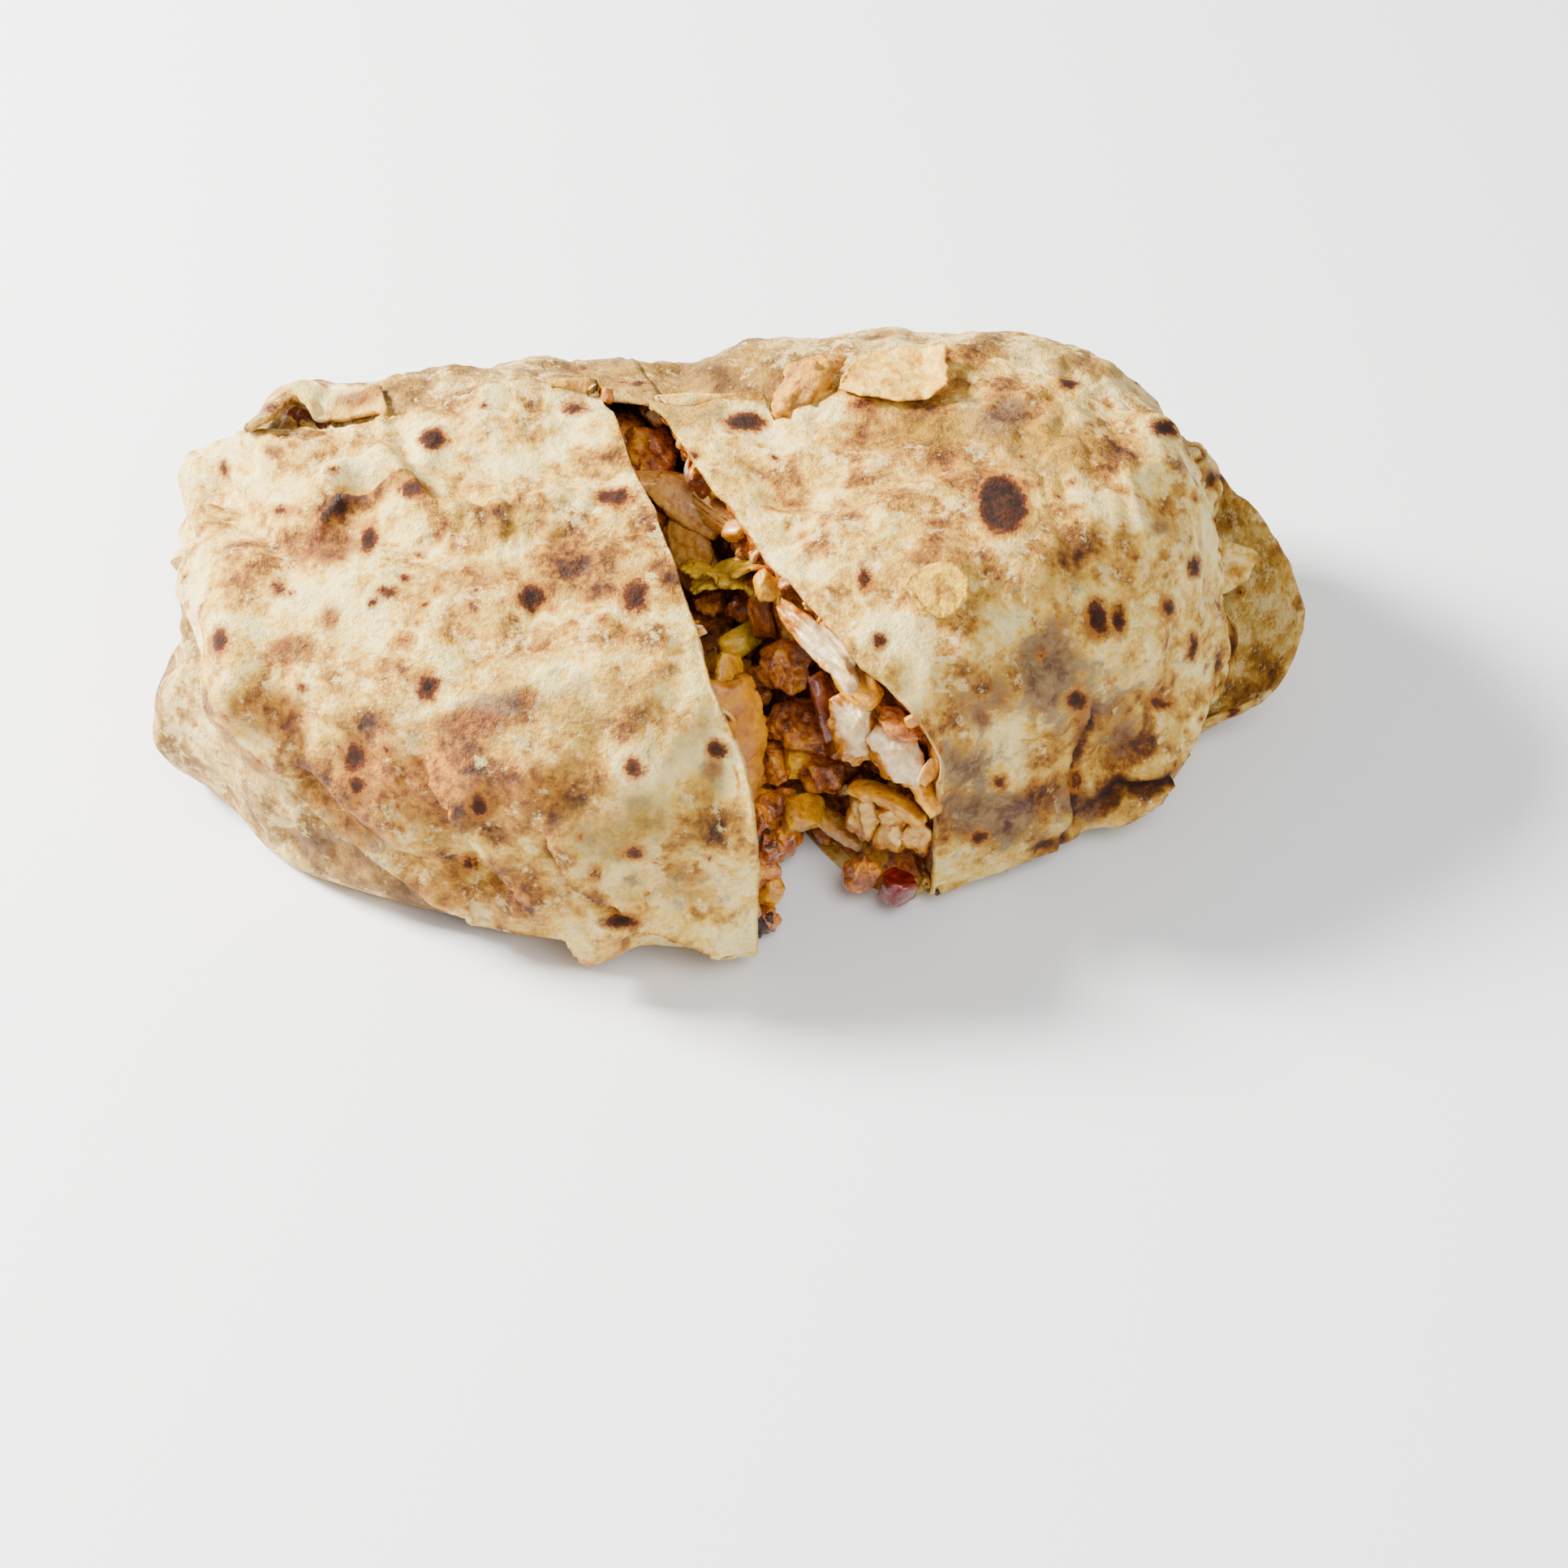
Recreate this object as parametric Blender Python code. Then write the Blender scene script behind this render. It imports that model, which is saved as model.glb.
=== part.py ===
"""A large filled burrito, cut nearly through and opened like a book.

The front of the burrito faces -Y, and the two halves still hang together at the back. The tortilla is one
solid: two bags, the strip of back wall that joins them, and the frill that flares out of the right end.
The filling is three solids: one in each bag, and what has dropped between the two cut faces. The bigger
bites that stick out of it are solids of their own, each sitting in a socket cut to its shape. Two flakes of
browned tortilla lie loose on top.

Lengths in this file are millimetres, and MM turns them into Blender's metres.
"""

import math

import bmesh
import bpy
from mathutils import Euler, Matrix, Vector, noise
from mathutils.bvhtree import BVHTree

MM = 0.001

# Driving sizes
WALL = 2.0  # two turns of a 1 mm tortilla
CLEARANCE = 0.4  # between two solids that touch
BACK_POINTS = 9  # round one section: up the back to the free edge of the outer turn,
TOP_POINTS = 14  # over the top and down the front to the edge of the tucked layer,
UNDER_POINTS = 13  # and underneath
OUTER_ROWS = 16  # along the outside of one half of the wrap
INNER_ROWS = 6  # along its inside
CAP_ROWS = 2  # along its rounded end
LUMP_HEIGHT = 1.3  # how far the filling pushes the wrap out and in
LUMP_LENGTH = 26.0
UNDERSIDE = 4.0  # nothing below this height sags lower, so the wrap lies flat
SHEET_STEP = 1.6  # the outer turn stands this far above the turn under it
EDGE_RUN = 0.6  # and drops to it in this distance
CAVITY_END = 0.75  # the filled share of each half: folded tortilla closes the rest
FRAME_SHIFT = Vector((-1.55, 3.5, 0.0))  # puts the middle of the footprint at the origin

# The section is a box with four elliptical corners under a low dome: radius across, radius up
CORNERS = {
    "top_back": (24.0, 24.0),
    "top_front": (26.0, 22.0),
    "foot_front": (8.0, 10.0),
    "foot_back": (9.0, 12.0),
}
CORNER_POWER = 2.15  # 2 is an ellipse, and more is squarer
CORNER_STEPS = 24
DOME = 3.0
FULL_CREST = 55.0  # the corner radii are for this crest height, and shrink with it

# Stations from the cut to the folded end: front edge (x, y), back edge (x, y), height of the crest
LEFT_STATIONS = (
    ((5.2, -55.5), (-27.0, 46.5), 54.0),
    ((-14.0, -53.5), (-40.0, 45.0), 55.5),
    ((-35.0, -51.5), (-53.0, 44.0), 55.0),
    ((-55.0, -46.0), (-66.0, 43.5), 52.5),
    ((-75.0, -36.0), (-77.0, 43.5), 49.0),
    ((-86.0, -17.0), (-81.5, 34.0), 42.5),
)
RIGHT_STATIONS = (
    ((33.8, -43.5), (-22.0, 46.0), 54.0),
    ((45.0, -37.0), (3.0, 48.5), 56.5),
    ((57.0, -29.5), (25.0, 50.0), 58.0),
    ((67.0, -24.5), (47.0, 51.0), 56.5),
    ((75.0, -15.0), (64.5, 47.5), 53.0),
    ((79.5, -3.0), (76.0, 39.5), 44.0),
)
# The cut edges seen from above, from front to back. The bend dies out by CUT_FADE of the way to the end.
LEFT_CUT = ((5.2, -55.5), (-2.0, -43.0), (-12.2, -9.0), (-20.2, 18.0), (-24.6, 35.0), (-27.0, 46.5))
RIGHT_CUT = ((33.8, -43.5), (21.5, -38.0), (8.5, -21.0), (-3.4, 0.5), (-14.6, 24.3), (-22.0, 46.0))
CUT_FADE = 0.45
# Corners of the sheet that stick out at the left end: centre, radius, push
TUCKED_CORNER = ((-88.0, -6.0, 14.0), 20.0, (-14.0, -2.0, 0.0))
EAR = ((-84.0, 21.0, 38.0), 10.0, (-11.0, 2.0, 1.0))
END_REACH = {"left": 6.0, "right": 3.0}  # how far the rounded end goes past the last station

# The outer turn of the wrap ends in a free edge along the back of the top, at these (x, y)
FREE_EDGE = (
    ((-92.0, 10.0), (-60.0, 15.5), (-25.0, 24.5), (-15.0, 21.0))
    + ((10.0, 18.5), (36.0, 35.0), (60.0, 27.0), (82.0, 13.0))
)
# Low on the front its lower edge stands over the layer tucked in at each end, at these (x, z)
TUCK_EDGE = (
    ((-88.0, 30.0), (-80.0, 19.0), (-65.0, 12.0), (-43.0, 3.0))
    + ((58.0, 3.0), (66.0, 8.0), (80.0, 22.0))
)
TUCK_LIFT = {"left": 3.0, "right": 1.8}
TUCK_FADE = 26.0  # the extra lift is gone this far above the edge
# Diagonal folds on the front of the left half: start and end (x, y, z), and lift of the layer above each line
FOLDS = (
    ((-40.0, -46.0, 30.0), (-18.0, -50.0, 3.0), 1.6),
    ((-14.0, -54.0, 26.0), (2.0, -54.0, 3.0), 1.4),
)
FOLD_FADE = 22.0
FACING = math.radians(46.7)  # the sloping plane on which the folds are straight lines

# Frill at the right end, from back to front: root (x, y, z) inside the folded end, rim (x, y, z)
FRILL = (
    ((72.0, 30.0, 27.0), (81.0, 30.0, 32.0)),
    ((74.0, 27.0, 18.0), (91.0, 20.5, 27.0)),
    ((74.0, 15.0, 10.0), (97.5, 5.0, 21.0)),
    ((73.0, 5.0, 7.0), (92.0, -5.0, 12.5)),
    ((70.0, -5.0, 5.0), (77.0, -9.0, 5.0)),
)
FRILL_THICK = 1.8
FRILL_WAVE = 1.3  # height of its ruffles at the rim
FRILL_DISH = 4.0  # how far it sags between root and rim

# Bites: name, centre, size, turn in degrees, material
BITES = (
    ("bite_top", (-14.5, 19.0, 40.5), (9, 13, 9), (0, 0, 22), "pepper"),
    ("bite_onion_upper", (-6.8, 7.5, 42.5), (6, 14, 6), (10, 0, 30), "onion"),
    ("bite_onion_lower", (-6.2, 5.0, 33.5), (8, 8, 9), (15, 0, 20), "onion"),
    ("bite_lettuce", (-0.5, -5.0, 38.0), (7, 12, 4), (-20, 30, 28), "lettuce"),
    ("bite_corn", (6.6, -15.5, 46.5), (4, 4, 4), (0, 0, 0), "corn"),
    ("bite_carrot", (5.4, -13.5, 37.5), (4, 4, 9), (20, -10, 0), "pepper"),
    ("bite_cheese_cube", (2.0, -9.5, 28.5), (8, 6, 6), (10, -15, 10), "corn"),
    ("bite_cheese", (-1.0, -10.0, 19.0), (8, 7, 11), (0, 20, 0), "cheese"),
    ("bite_chicken_high", (9.8, -19.5, 32.5), (10, 9, 10), (20, 10, 30), "browned_chicken"),
    ("bite_chicken_middle", (12.4, -24.0, 21.5), (13, 10, 9), (0, 10, -10), "browned_chicken"),
    ("bite_strip", (14.8, -28.0, 45.2), (5, 20, 6), (6, 0, 37), "chicken"),
    ("bite_pepper_strip", (15.8, -30.8, 34.0), (3, 5, 9), (-20, 0, 30), "tomato"),
    ("bite_white_left", (20.6, -36.2, 34.0), (6, 7, 12), (0, -12, 20), "chicken"),
    ("bite_white_right", (27.4, -39.4, 31.6), (5.6, 6, 12), (0, -12, 10), "chicken"),
    ("bite_yellow_strip", (26.0, -40.0, 21.8), (10, 5, 4), (0, 18, -22), "cheese"),
    ("bite_pale_left", (21.6, -38.0, 16.2), (5, 6, 8), (0, -15, 20), "chicken"),
    ("bite_pale_right", (27.6, -40.0, 14.4), (5, 5, 7), (0, 10, -20), "chicken"),
    ("bite_brown_low", (21.8, -41.8, 7.0), (6, 6, 8), (20, 0, 20), "browned_chicken"),
    ("bite_tomato", (28.0, -44.6, 6.6), (5, 5, 6), (10, 0, 30), "tomato"),
    ("bite_slice", (0.0, -33.0, 26.5), (12, 12, 22), (0, -8, 18), "pepper"),
    ("bite_left_low", (4.2, -46.0, 12.0), (8, 7, 12), (20, 0, 20), "browned_chicken"),
    ("bite_burnt", (5.6, -50.6, 4.4), (4, 3, 5), (0, 0, 20), "char"),
    ("bite_back", (14.8, 24.0, 52.6), (14, 16, 9), (4, 0, 25), "browned_chicken"),
    ("bite_end", (-69.5, 22.5, 47.6), (11, 7, 6), (0, 0, -20), "tomato"),
)
IN_TORTILLA = ("bite_back", "bite_end")  # these poke out through the wrap itself

# Loose flakes on top: name, corners (x, y), height of the curled edge
FLAKES = (
    ("flake_large", ((18.5, 17.5), (23.0, 27.0), (35.5, 29.5), (36.5, 21.5), (33.0, 14.5)), 1.2),
    ("flake_small", ((28.5, -28.0), (32.7, -23.0), (38.5, -28.0), (36.0, -32.0), (31.0, -32.0)), 0.3),
)
FLAKE_THICK = 1.0
FLAKE_REACH = 2.0  # a flake clears what is under it this far round each of its points
# The heap that has dropped between the halves: ends (x, y), width and height at each end
SPILL = {"heel": (-17.0, 26.0), "toe": (12.5, -27.0), "width": (10.0, 22.0), "height": (34.0, 9.0)}
SPILL_FLOOR = 0.5
STRIP_UNDER = 4  # points of the section's underside that the uncut back strip takes in
FACE_RINGS = 3  # steps from the rim of the filling's cut face to its middle
FACE_SWELL = 0.3  # the filling stands this far out of the cut, between bites
FACE_RELIEF = 3.0  # and is this uneven
BITE_ROUGHNESS = 0.24  # dents, as a share of a bite's size
SOCKET_GAP = 0.35  # between a bite and the filling it sits in
HALVES = {"left": (LEFT_STATIONS, LEFT_CUT), "right": (RIGHT_STATIONS, RIGHT_CUT)}

MATERIALS = {  # colour, roughness
    "tortilla": ((0.78, 0.62, 0.42), 0.72),
    "filling": ((0.42, 0.16, 0.03), 0.35),
    "pepper": ((0.80, 0.33, 0.02), 0.25),
    "onion": ((0.62, 0.52, 0.40), 0.25),
    "lettuce": ((0.55, 0.50, 0.12), 0.35),
    "corn": ((0.90, 0.62, 0.16), 0.30),
    "cheese": ((0.85, 0.50, 0.07), 0.35),
    "chicken": ((0.80, 0.64, 0.46), 0.45),
    "browned_chicken": ((0.52, 0.20, 0.04), 0.32),
    "tomato": ((0.35, 0.03, 0.02), 0.15),
    "char": ((0.05, 0.02, 0.01), 0.60),
}


# ---------------------------------------------------------------- scene and object helpers


def clear_scene():
    for obj in list(bpy.data.objects):
        bpy.data.objects.remove(obj, do_unlink=True)


def new_collection(name):
    collection = bpy.data.collections.new(name)
    bpy.context.scene.collection.children.link(collection)
    return collection


def material(name):
    found = bpy.data.materials.get(name)
    if found:
        return found
    colour, roughness = MATERIALS[name]
    made = bpy.data.materials.new(name)
    made.use_nodes = True
    shader = made.node_tree.nodes["Principled BSDF"]
    shader.inputs["Base Color"].default_value = (*colour, 1.0)
    shader.inputs["Roughness"].default_value = roughness
    shader.inputs["Metallic"].default_value = 0.0
    made.diffuse_color = (*colour, 1.0)
    return made


def object_from(bm, name, collection, material_name):
    """An object made of a bmesh in millimetres, shaded smooth."""
    bmesh.ops.recalc_face_normals(bm, faces=bm.faces)
    bmesh.ops.scale(bm, vec=(MM, MM, MM), verts=bm.verts)
    mesh = bpy.data.meshes.new(name)
    bm.to_mesh(mesh)
    bm.free()
    mesh.shade_smooth()
    mesh.set_sharp_from_angle(angle=math.radians(45))
    mesh.materials.append(material(material_name))
    obj = bpy.data.objects.new(name, mesh)
    obj.location = FRAME_SHIFT * MM
    collection.objects.link(obj)
    return obj


def as_cutter(obj):
    obj.hide_render = True
    obj.display_type = "WIRE"
    return obj


def boolean(obj, operation, other):
    modifier = obj.modifiers.new(f"{operation.lower()} {other.name}", "BOOLEAN")
    modifier.operation = operation
    modifier.solver = "EXACT"
    modifier.object = other


# ---------------------------------------------------------------- the wrap's outline


def spline(values, share):
    """Catmull-Rom through a list of tuples; share runs from 0 to 1 over the whole list."""
    place = min(max(share, 0.0), 1.0) * (len(values) - 1)
    i = min(int(place), len(values) - 2)
    t = place - i
    p = [Vector(values[min(max(k, 0), len(values) - 1)]) for k in (i - 1, i, i + 1, i + 2)]
    return 0.5 * (
        2 * p[1]
        + (p[2] - p[0]) * t
        + (2 * p[0] - 5 * p[1] + 4 * p[2] - p[3]) * t**2
        + (3 * p[1] - p[0] - 3 * p[2] + p[3]) * t**3
    )


def along_line(points, share):
    """The point at a share of a polyline's length."""
    points = [Vector(p) for p in points]
    wanted = share * sum((b - a).length for a, b in zip(points, points[1:]))
    for a, b in zip(points, points[1:]):
        length = (b - a).length
        if wanted <= length:
            return a.lerp(b, wanted / length)
        wanted -= length
    return points[-1]


class Station:
    """A cross-section's place: its front and back edges seen from above, the cut's bend, and its crest."""

    def __init__(self, side, share):
        stations, cut = HALVES[side]
        self.lift = TUCK_LIFT[side]
        flat = [(*front, *back, crest) for front, back, crest in stations]
        x0, y0, x1, y1, self.crest = spline(flat, share)
        self.front, self.back = Vector((x0, y0, 0)), Vector((x1, y1, 0))
        self.cut = cut
        self.bend = max(0.0, 1 - share / CUT_FADE) ** 2
        self.belly = 0.45 * self.crest
        self.middle = (self.front + self.back) / 2 + Vector((0, 0, self.belly))

    def outward(self):
        """Level, square to the section, towards the cut of a left half and the folded end of a right one."""
        return Vector((self.front.y - self.back.y, self.back.x - self.front.x, 0)).normalized() * -1

    def place(self, share, height):
        """The point at a share of the way from the front edge to the back edge."""
        kept = min(max(share, 0.0), 1.0)
        chord = Vector(self.cut[0]).lerp(Vector(self.cut[-1]), kept)
        bend = (along_line(self.cut, kept) - chord) * self.bend
        return self.front.lerp(self.back, share) + Vector((bend.x, bend.y, height))


def power(value, exponent):
    return math.copysign(abs(value) ** exponent, value)


def section(at, inset):
    """A closed cross-section, from the back at the belly, up over the top, down the front and underneath."""
    width = (at.back - at.front).length
    size = at.crest / FULL_CREST
    outline = []  # distance from the front edge, height, share of the dome
    for name, across_sign, up_sign in (
        ("top_back", 1, 1),
        ("top_front", -1, 1),
        ("foot_front", -1, -1),
        ("foot_back", 1, -1),
    ):
        across, up = (r * size for r in CORNERS[name])
        centre = width - across if across_sign > 0 else across
        level = at.crest - DOME * size - up if up_sign > 0 else up
        for i in range(CORNER_STEPS + 1):
            turn = math.pi / 2 * i / CORNER_STEPS
            if across_sign != up_sign:
                turn = math.pi / 2 - turn
            c, s = (power(f(turn), 2 / CORNER_POWER) for f in (math.cos, math.sin))
            x = centre + across_sign * (across - inset) * c
            outline.append((x, level + up_sign * (up - inset) * s, s if up_sign > 0 else 0.0))
    outline.append(outline[0])
    dense = []
    for start, end in zip(outline, outline[1:]):
        pieces = max(1, round((Vector(end) - Vector(start)).length))
        for k in range(pieces):
            x, z, domed = Vector(start).lerp(Vector(end), k / pieces)
            dense.append(at.place(x / width, z + DOME * size * domed * (1 - (2 * x / width - 1) ** 2)))
    dense.append(dense[0])
    return zoned_steps(dense)


def zoned_steps(dense):
    """Spaces a section's points evenly in its three zones, so that the sheet's edges run between zones."""
    over = next(i for i, p in enumerate(dense) if p.y < line_at(FREE_EDGE, p.x))
    least = dense[over].z / 12
    edges = (i for i, p in enumerate(dense) if i > over and p.z < max(line_at(TUCK_EDGE, p.x), least))
    under = next(edges)
    made = even_steps(dense[: over + 1], BACK_POINTS, EDGE_RUN)
    made += even_steps(dense[over : under + 1], TOP_POINTS, EDGE_RUN)
    return made + even_steps(dense[under:], UNDER_POINTS, None)


def even_steps(line, count, stop_short):
    """Points at equal steps along an open line. The last is stop_short from the end, or one step from it."""
    lengths = [0.0]
    for a, b in zip(line, line[1:]):
        lengths.append(lengths[-1] + (b - a).length)
    whole = lengths[-1]
    step = whole / count if stop_short is None else (whole - stop_short) / (count - 1)
    made = []
    k = 0
    for i in range(count):
        while k < len(line) - 2 and lengths[k + 1] < step * i:
            k += 1
        made.append(line[k].lerp(line[k + 1], (step * i - lengths[k]) / (lengths[k + 1] - lengths[k])))
    return made


def line_at(points, x):
    """The second coordinate of a polyline at this x."""
    for (x0, y0), (x1, y1) in zip(points, points[1:]):
        if x <= x1:
            return y0 + (y1 - y0) * min(max((x - x0) / (x1 - x0), 0.0), 1.0)
    return points[-1][1]


def smooth_step(low, high, value):
    t = min(max((value - low) / (high - low), 0.0), 1.0)
    return t * t * (3 - 2 * t)


def lumps(point):
    """How far the filling pushes the wrap out at a point. It dies away at the flat underside."""
    raised = smooth_step(2.0, 12.0, point.z)
    return LUMP_HEIGHT * raised * noise.noise(point / LUMP_LENGTH)


def facing(point):
    """A point's place on the sloping plane that faces the front."""
    return Vector((point.x, point.y * math.sin(FACING) + point.z * math.cos(FACING)))


def folds(point):
    """How far the diagonal folds lift a point."""
    if point.y > 0:
        return 0.0
    added = 0.0
    here = facing(point)
    for start, end, lift in FOLDS:
        a, b = facing(Vector(start)), facing(Vector(end))
        along = (b - a).normalized()
        beside = (here - a).dot(Vector((-along.y, along.x)))
        inside = smooth_step(-6, 2, (here - a).dot(along)) * smooth_step(6, -2, (here - b).dot(along))
        added += lift * inside * smooth_step(-1.5, 1.5, beside) * smooth_step(FOLD_FADE, 2.0, beside)
    return added * smooth_step(0.5, 4.0, point.z)


def stick_out(point, corner):
    """How far a corner of the sheet carries a point with it."""
    centre, radius, push = corner
    return Vector(push) * max(0.0, 1 - (point - Vector(centre)).length / radius)


def push_out(points, at, ramped):
    """Moves a section's points away from its middle by the lumps, the layers and the sheet's corners.

    The outer turn starts with a step at each of its edges, or with a slope where the shape is ramped.
    """
    made = []
    first, last = BACK_POINTS, BACK_POINTS + TOP_POINTS - 1
    tuck = points[last + 1]
    for i, p in enumerate(points):
        out = p - at.middle
        out.z *= 1.5
        distance = lumps(p)
        if first <= i <= last and not (ramped and i in (first, last)):
            above_edge = smooth_step(TUCK_FADE, 2.0, (p - tuck).length)
            distance += SHEET_STEP + folds(p) + at.lift * smooth_step(2.0, 8.0, tuck.z) * above_edge
        moved = p + out.normalized() * distance + stick_out(p, TUCKED_CORNER if i > last else EAR)
        moved.z = max(moved.z, min(p.z, UNDERSIDE))
        made.append(moved)
    return made


def half_rows(side, inset, shares, cap_rows=CAP_ROWS, ramped=False):
    """Sections of one half at these shares of its length, then a rounded end, and the tip that closes it."""
    made = []
    for share in shares:
        at = Station(side, share)
        made.append(push_out(section(at, inset), at, ramped))
    end = made[-1]
    outward = at.outward() * (1 if side == "right" else -1)
    floor = min(p.z for p in end)
    for i in range(1, cap_rows + 1):
        angle = math.pi / 2 * i / (cap_rows + 0.35)
        shrink = math.cos(angle) ** 0.8
        reach = outward * END_REACH[side] * math.sin(angle)
        row = [at.middle + (p - at.middle) * shrink + reach for p in end]
        made.append([Vector((p.x, p.y, max(p.z, floor))) for p in row])
    return made, at.middle + outward * END_REACH[side]


def steps_to(last, count):
    return [last * i / (count - 1) for i in range(count)]


# ---------------------------------------------------------------- solids


def add_loop(bm, points):
    return [bm.verts.new(p) for p in points]


def bridge(bm, first, second):
    """Faces between two closed loops of the same number of vertices."""
    count = len(first)
    for i in range(count):
        j = (i + 1) % count
        bm.faces.new((first[i], first[j], second[j], second[i]))


def fan(bm, loop, tip):
    centre = bm.verts.new(tip)
    for i, vert in enumerate(loop):
        bm.faces.new((vert, loop[(i + 1) % len(loop)], centre))


def add_skin(bm, rows, tip):
    """A bag-shaped skin through the rows, closed at its tip. Returns the open end's loop."""
    loops = [add_loop(bm, row) for row in rows]
    for first, second in zip(loops, loops[1:]):
        bridge(bm, first, second)
    fan(bm, loops[-1], tip)
    return loops[0]


def tortilla_bag(side, collection):
    """One half of the wrap: an outer and an inner skin that meet at the cut edge."""
    bm = bmesh.new()
    outer = add_skin(bm, *half_rows(side, 0.0, steps_to(1.0, OUTER_ROWS)))
    inner = add_skin(bm, *half_rows(side, WALL, steps_to(CAVITY_END, INNER_ROWS), 1))
    bridge(bm, outer, inner)
    return object_from(bm, f"bag_{side}", collection, "tortilla")


def sheet_solid(rows_above, rows_below, name, collection):
    """A closed solid between two grids of points with the same rows and columns."""
    bm = bmesh.new()
    above = [add_loop(bm, row) for row in rows_above]
    below = [add_loop(bm, row) for row in rows_below]
    for grid in (above, below):
        for first, second in zip(grid, grid[1:]):
            for i in range(len(first) - 1):
                bm.faces.new((first[i], first[i + 1], second[i + 1], second[i]))
    rim_above = above[0] + [r[-1] for r in above[1:]] + above[-1][-2::-1] + [r[0] for r in above[-2:0:-1]]
    rim_below = below[0] + [r[-1] for r in below[1:]] + below[-1][-2::-1] + [r[0] for r in below[-2:0:-1]]
    bridge(bm, rim_above, rim_below)
    return object_from(bm, name, collection, "tortilla")


def back_strip(collection):
    """The uncut strip of back wall, buried in the middle of both bags' walls."""
    steps = 7
    reach = 0.07
    grids = []
    for inset in (0.3, 1.4):
        rows = []
        for i in range(steps):
            share = 2 * i / (steps - 1) - 1
            near, far = (
                Station(side, max(sign * share, 0) * reach) for side, sign in (("left", -1), ("right", 1))
            )
            mix = smooth_step(-0.3, 0.3, share)
            here, there = (push_out(section(at, inset), at, False) for at in (near, far))
            points = [a.lerp(b, mix) for a, b in zip(here, there)]
            rows.append(points[-STRIP_UNDER:] + points[:BACK_POINTS])
        grids.append(rows)
    return sheet_solid(*grids, "back_strip", collection)


def frill(collection):
    """The loose end of the tortilla, a waved fan round the right end."""
    columns, rows = 12, 4
    upper, lower = [], []
    for i in range(columns):
        share = i / (columns - 1)
        root, rim = (spline([pair[k] for pair in FRILL], share) for k in (0, 1))
        line = []
        for j in range(rows):
            out = j / (rows - 1)
            point = root.lerp(rim, out)
            point.z += FRILL_WAVE * out * math.sin(share * math.tau * 2.5)
            point.z -= FRILL_DISH * math.sin(math.pi * out)
            line.append(point)
        upper.append([p + Vector((0, 0, FRILL_THICK / 2)) for p in line])
        lower.append([p - Vector((0, 0, FRILL_THICK / 2)) for p in line])
    return sheet_solid(upper, lower, "frill", collection)


def build_tortilla(parts, helpers):
    """The whole sheet as one solid: both bags, the strip that joins them, and the frill."""
    tortilla = tortilla_bag("left", parts)
    tortilla.name = "tortilla"
    for other in (tortilla_bag("right", helpers), back_strip(helpers), frill(helpers)):
        boolean(tortilla, "UNION", as_cutter(other))
    return tortilla


def half_solid(side, collection):
    """One half as if it were solid right up to its cut, with a little air round it, as a cutter."""
    bm = bmesh.new()
    rows, tip = half_rows(side, -CLEARANCE, steps_to(0.5, INNER_ROWS), 1)
    out = Station(side, 0.0).outward() * (1 if side == "left" else -1)
    loop = add_skin(bm, [[p + out * 2 * CLEARANCE for p in rows[0]]] + rows, tip)
    fan(bm, loop, sum((v.co for v in loop), Vector()) / len(loop))
    return as_cutter(object_from(bm, f"half_{side}", collection, "filling"))


def build_filling(side, parts):
    """What fills one bag, with an uneven face at the cut."""
    bm = bmesh.new()
    shares = steps_to(CAVITY_END, INNER_ROWS)[:-1]
    loop = add_skin(bm, *half_rows(side, WALL + CLEARANCE, shares, 1, ramped=True))
    edge = [v.co.copy() for v in loop]
    middle = sum(edge, Vector()) / len(edge)
    out = Station(side, 0.0).outward() * (1 if side == "left" else -1)
    for i in range(1, FACE_RINGS):
        share = 1 - i / FACE_RINGS
        points = []
        for p in edge:
            q = middle + (p - middle) * share
            swell = FACE_SWELL + FACE_RELIEF * noise.noise(q / 9.0)
            points.append(q + out * swell)
        inner = add_loop(bm, points)
        bridge(bm, loop, inner)
        loop = inner
    fan(bm, loop, middle + out * FACE_SWELL)
    return object_from(bm, f"filling_{side}", parts, "filling")


def heap(name, grow, collection):
    """A closed heap between the cut faces, highest towards the hinge."""
    bm = bmesh.new()
    bmesh.ops.create_icosphere(bm, subdivisions=3, radius=1.0)
    heel, toe = Vector(SPILL["heel"]), Vector(SPILL["toe"])
    run = (toe - heel).normalized()
    beside = Vector((-run.y, run.x))
    for v in bm.verts:
        share = (v.co.x + 1) / 2
        centre = heel.lerp(toe, share) + run * grow * v.co.x
        wide = (SPILL["width"][0] * (1 - share) + SPILL["width"][1] * share) / 2 + grow
        tall = SPILL["height"][0] * (1 - share) + SPILL["height"][1] * share
        bump = 1 + 0.12 * noise.noise(v.co * 3.1)
        place = centre + beside * wide * v.co.y * bump
        height = SPILL_FLOOR - grow + (tall + 2 * grow) * (v.co.z + 1) / 2 * bump
        v.co = Vector((place.x, place.y, height))
    return object_from(bm, name, collection, "filling")


def build_bite(name, centre, size, turn, material_name, collection, grow=0.0):
    """A rounded, dented block. grow makes the same shape bigger all round, as a cutter for its socket."""
    bm = bmesh.new()
    bmesh.ops.create_icosphere(bm, subdivisions=2, radius=1.0)
    seed = Vector((centre[0], centre[1], centre[2])) * 0.7
    for v in bm.verts:
        direction = v.co.normalized()
        boxy = Vector([power(k, 0.65) for k in direction])
        dent = 1 + BITE_ROUGHNESS * noise.noise(direction * 2.2 + seed)
        half = Vector(size) / 2
        v.co = Vector([b * (h + grow) * dent for b, h in zip(boxy, half)])
    turn_matrix = Euler([math.radians(a) for a in turn]).to_matrix().to_4x4()
    bmesh.ops.transform(bm, matrix=Matrix.Translation(centre) @ turn_matrix, verts=bm.verts)
    return object_from(bm, name, collection, material_name)


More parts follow.
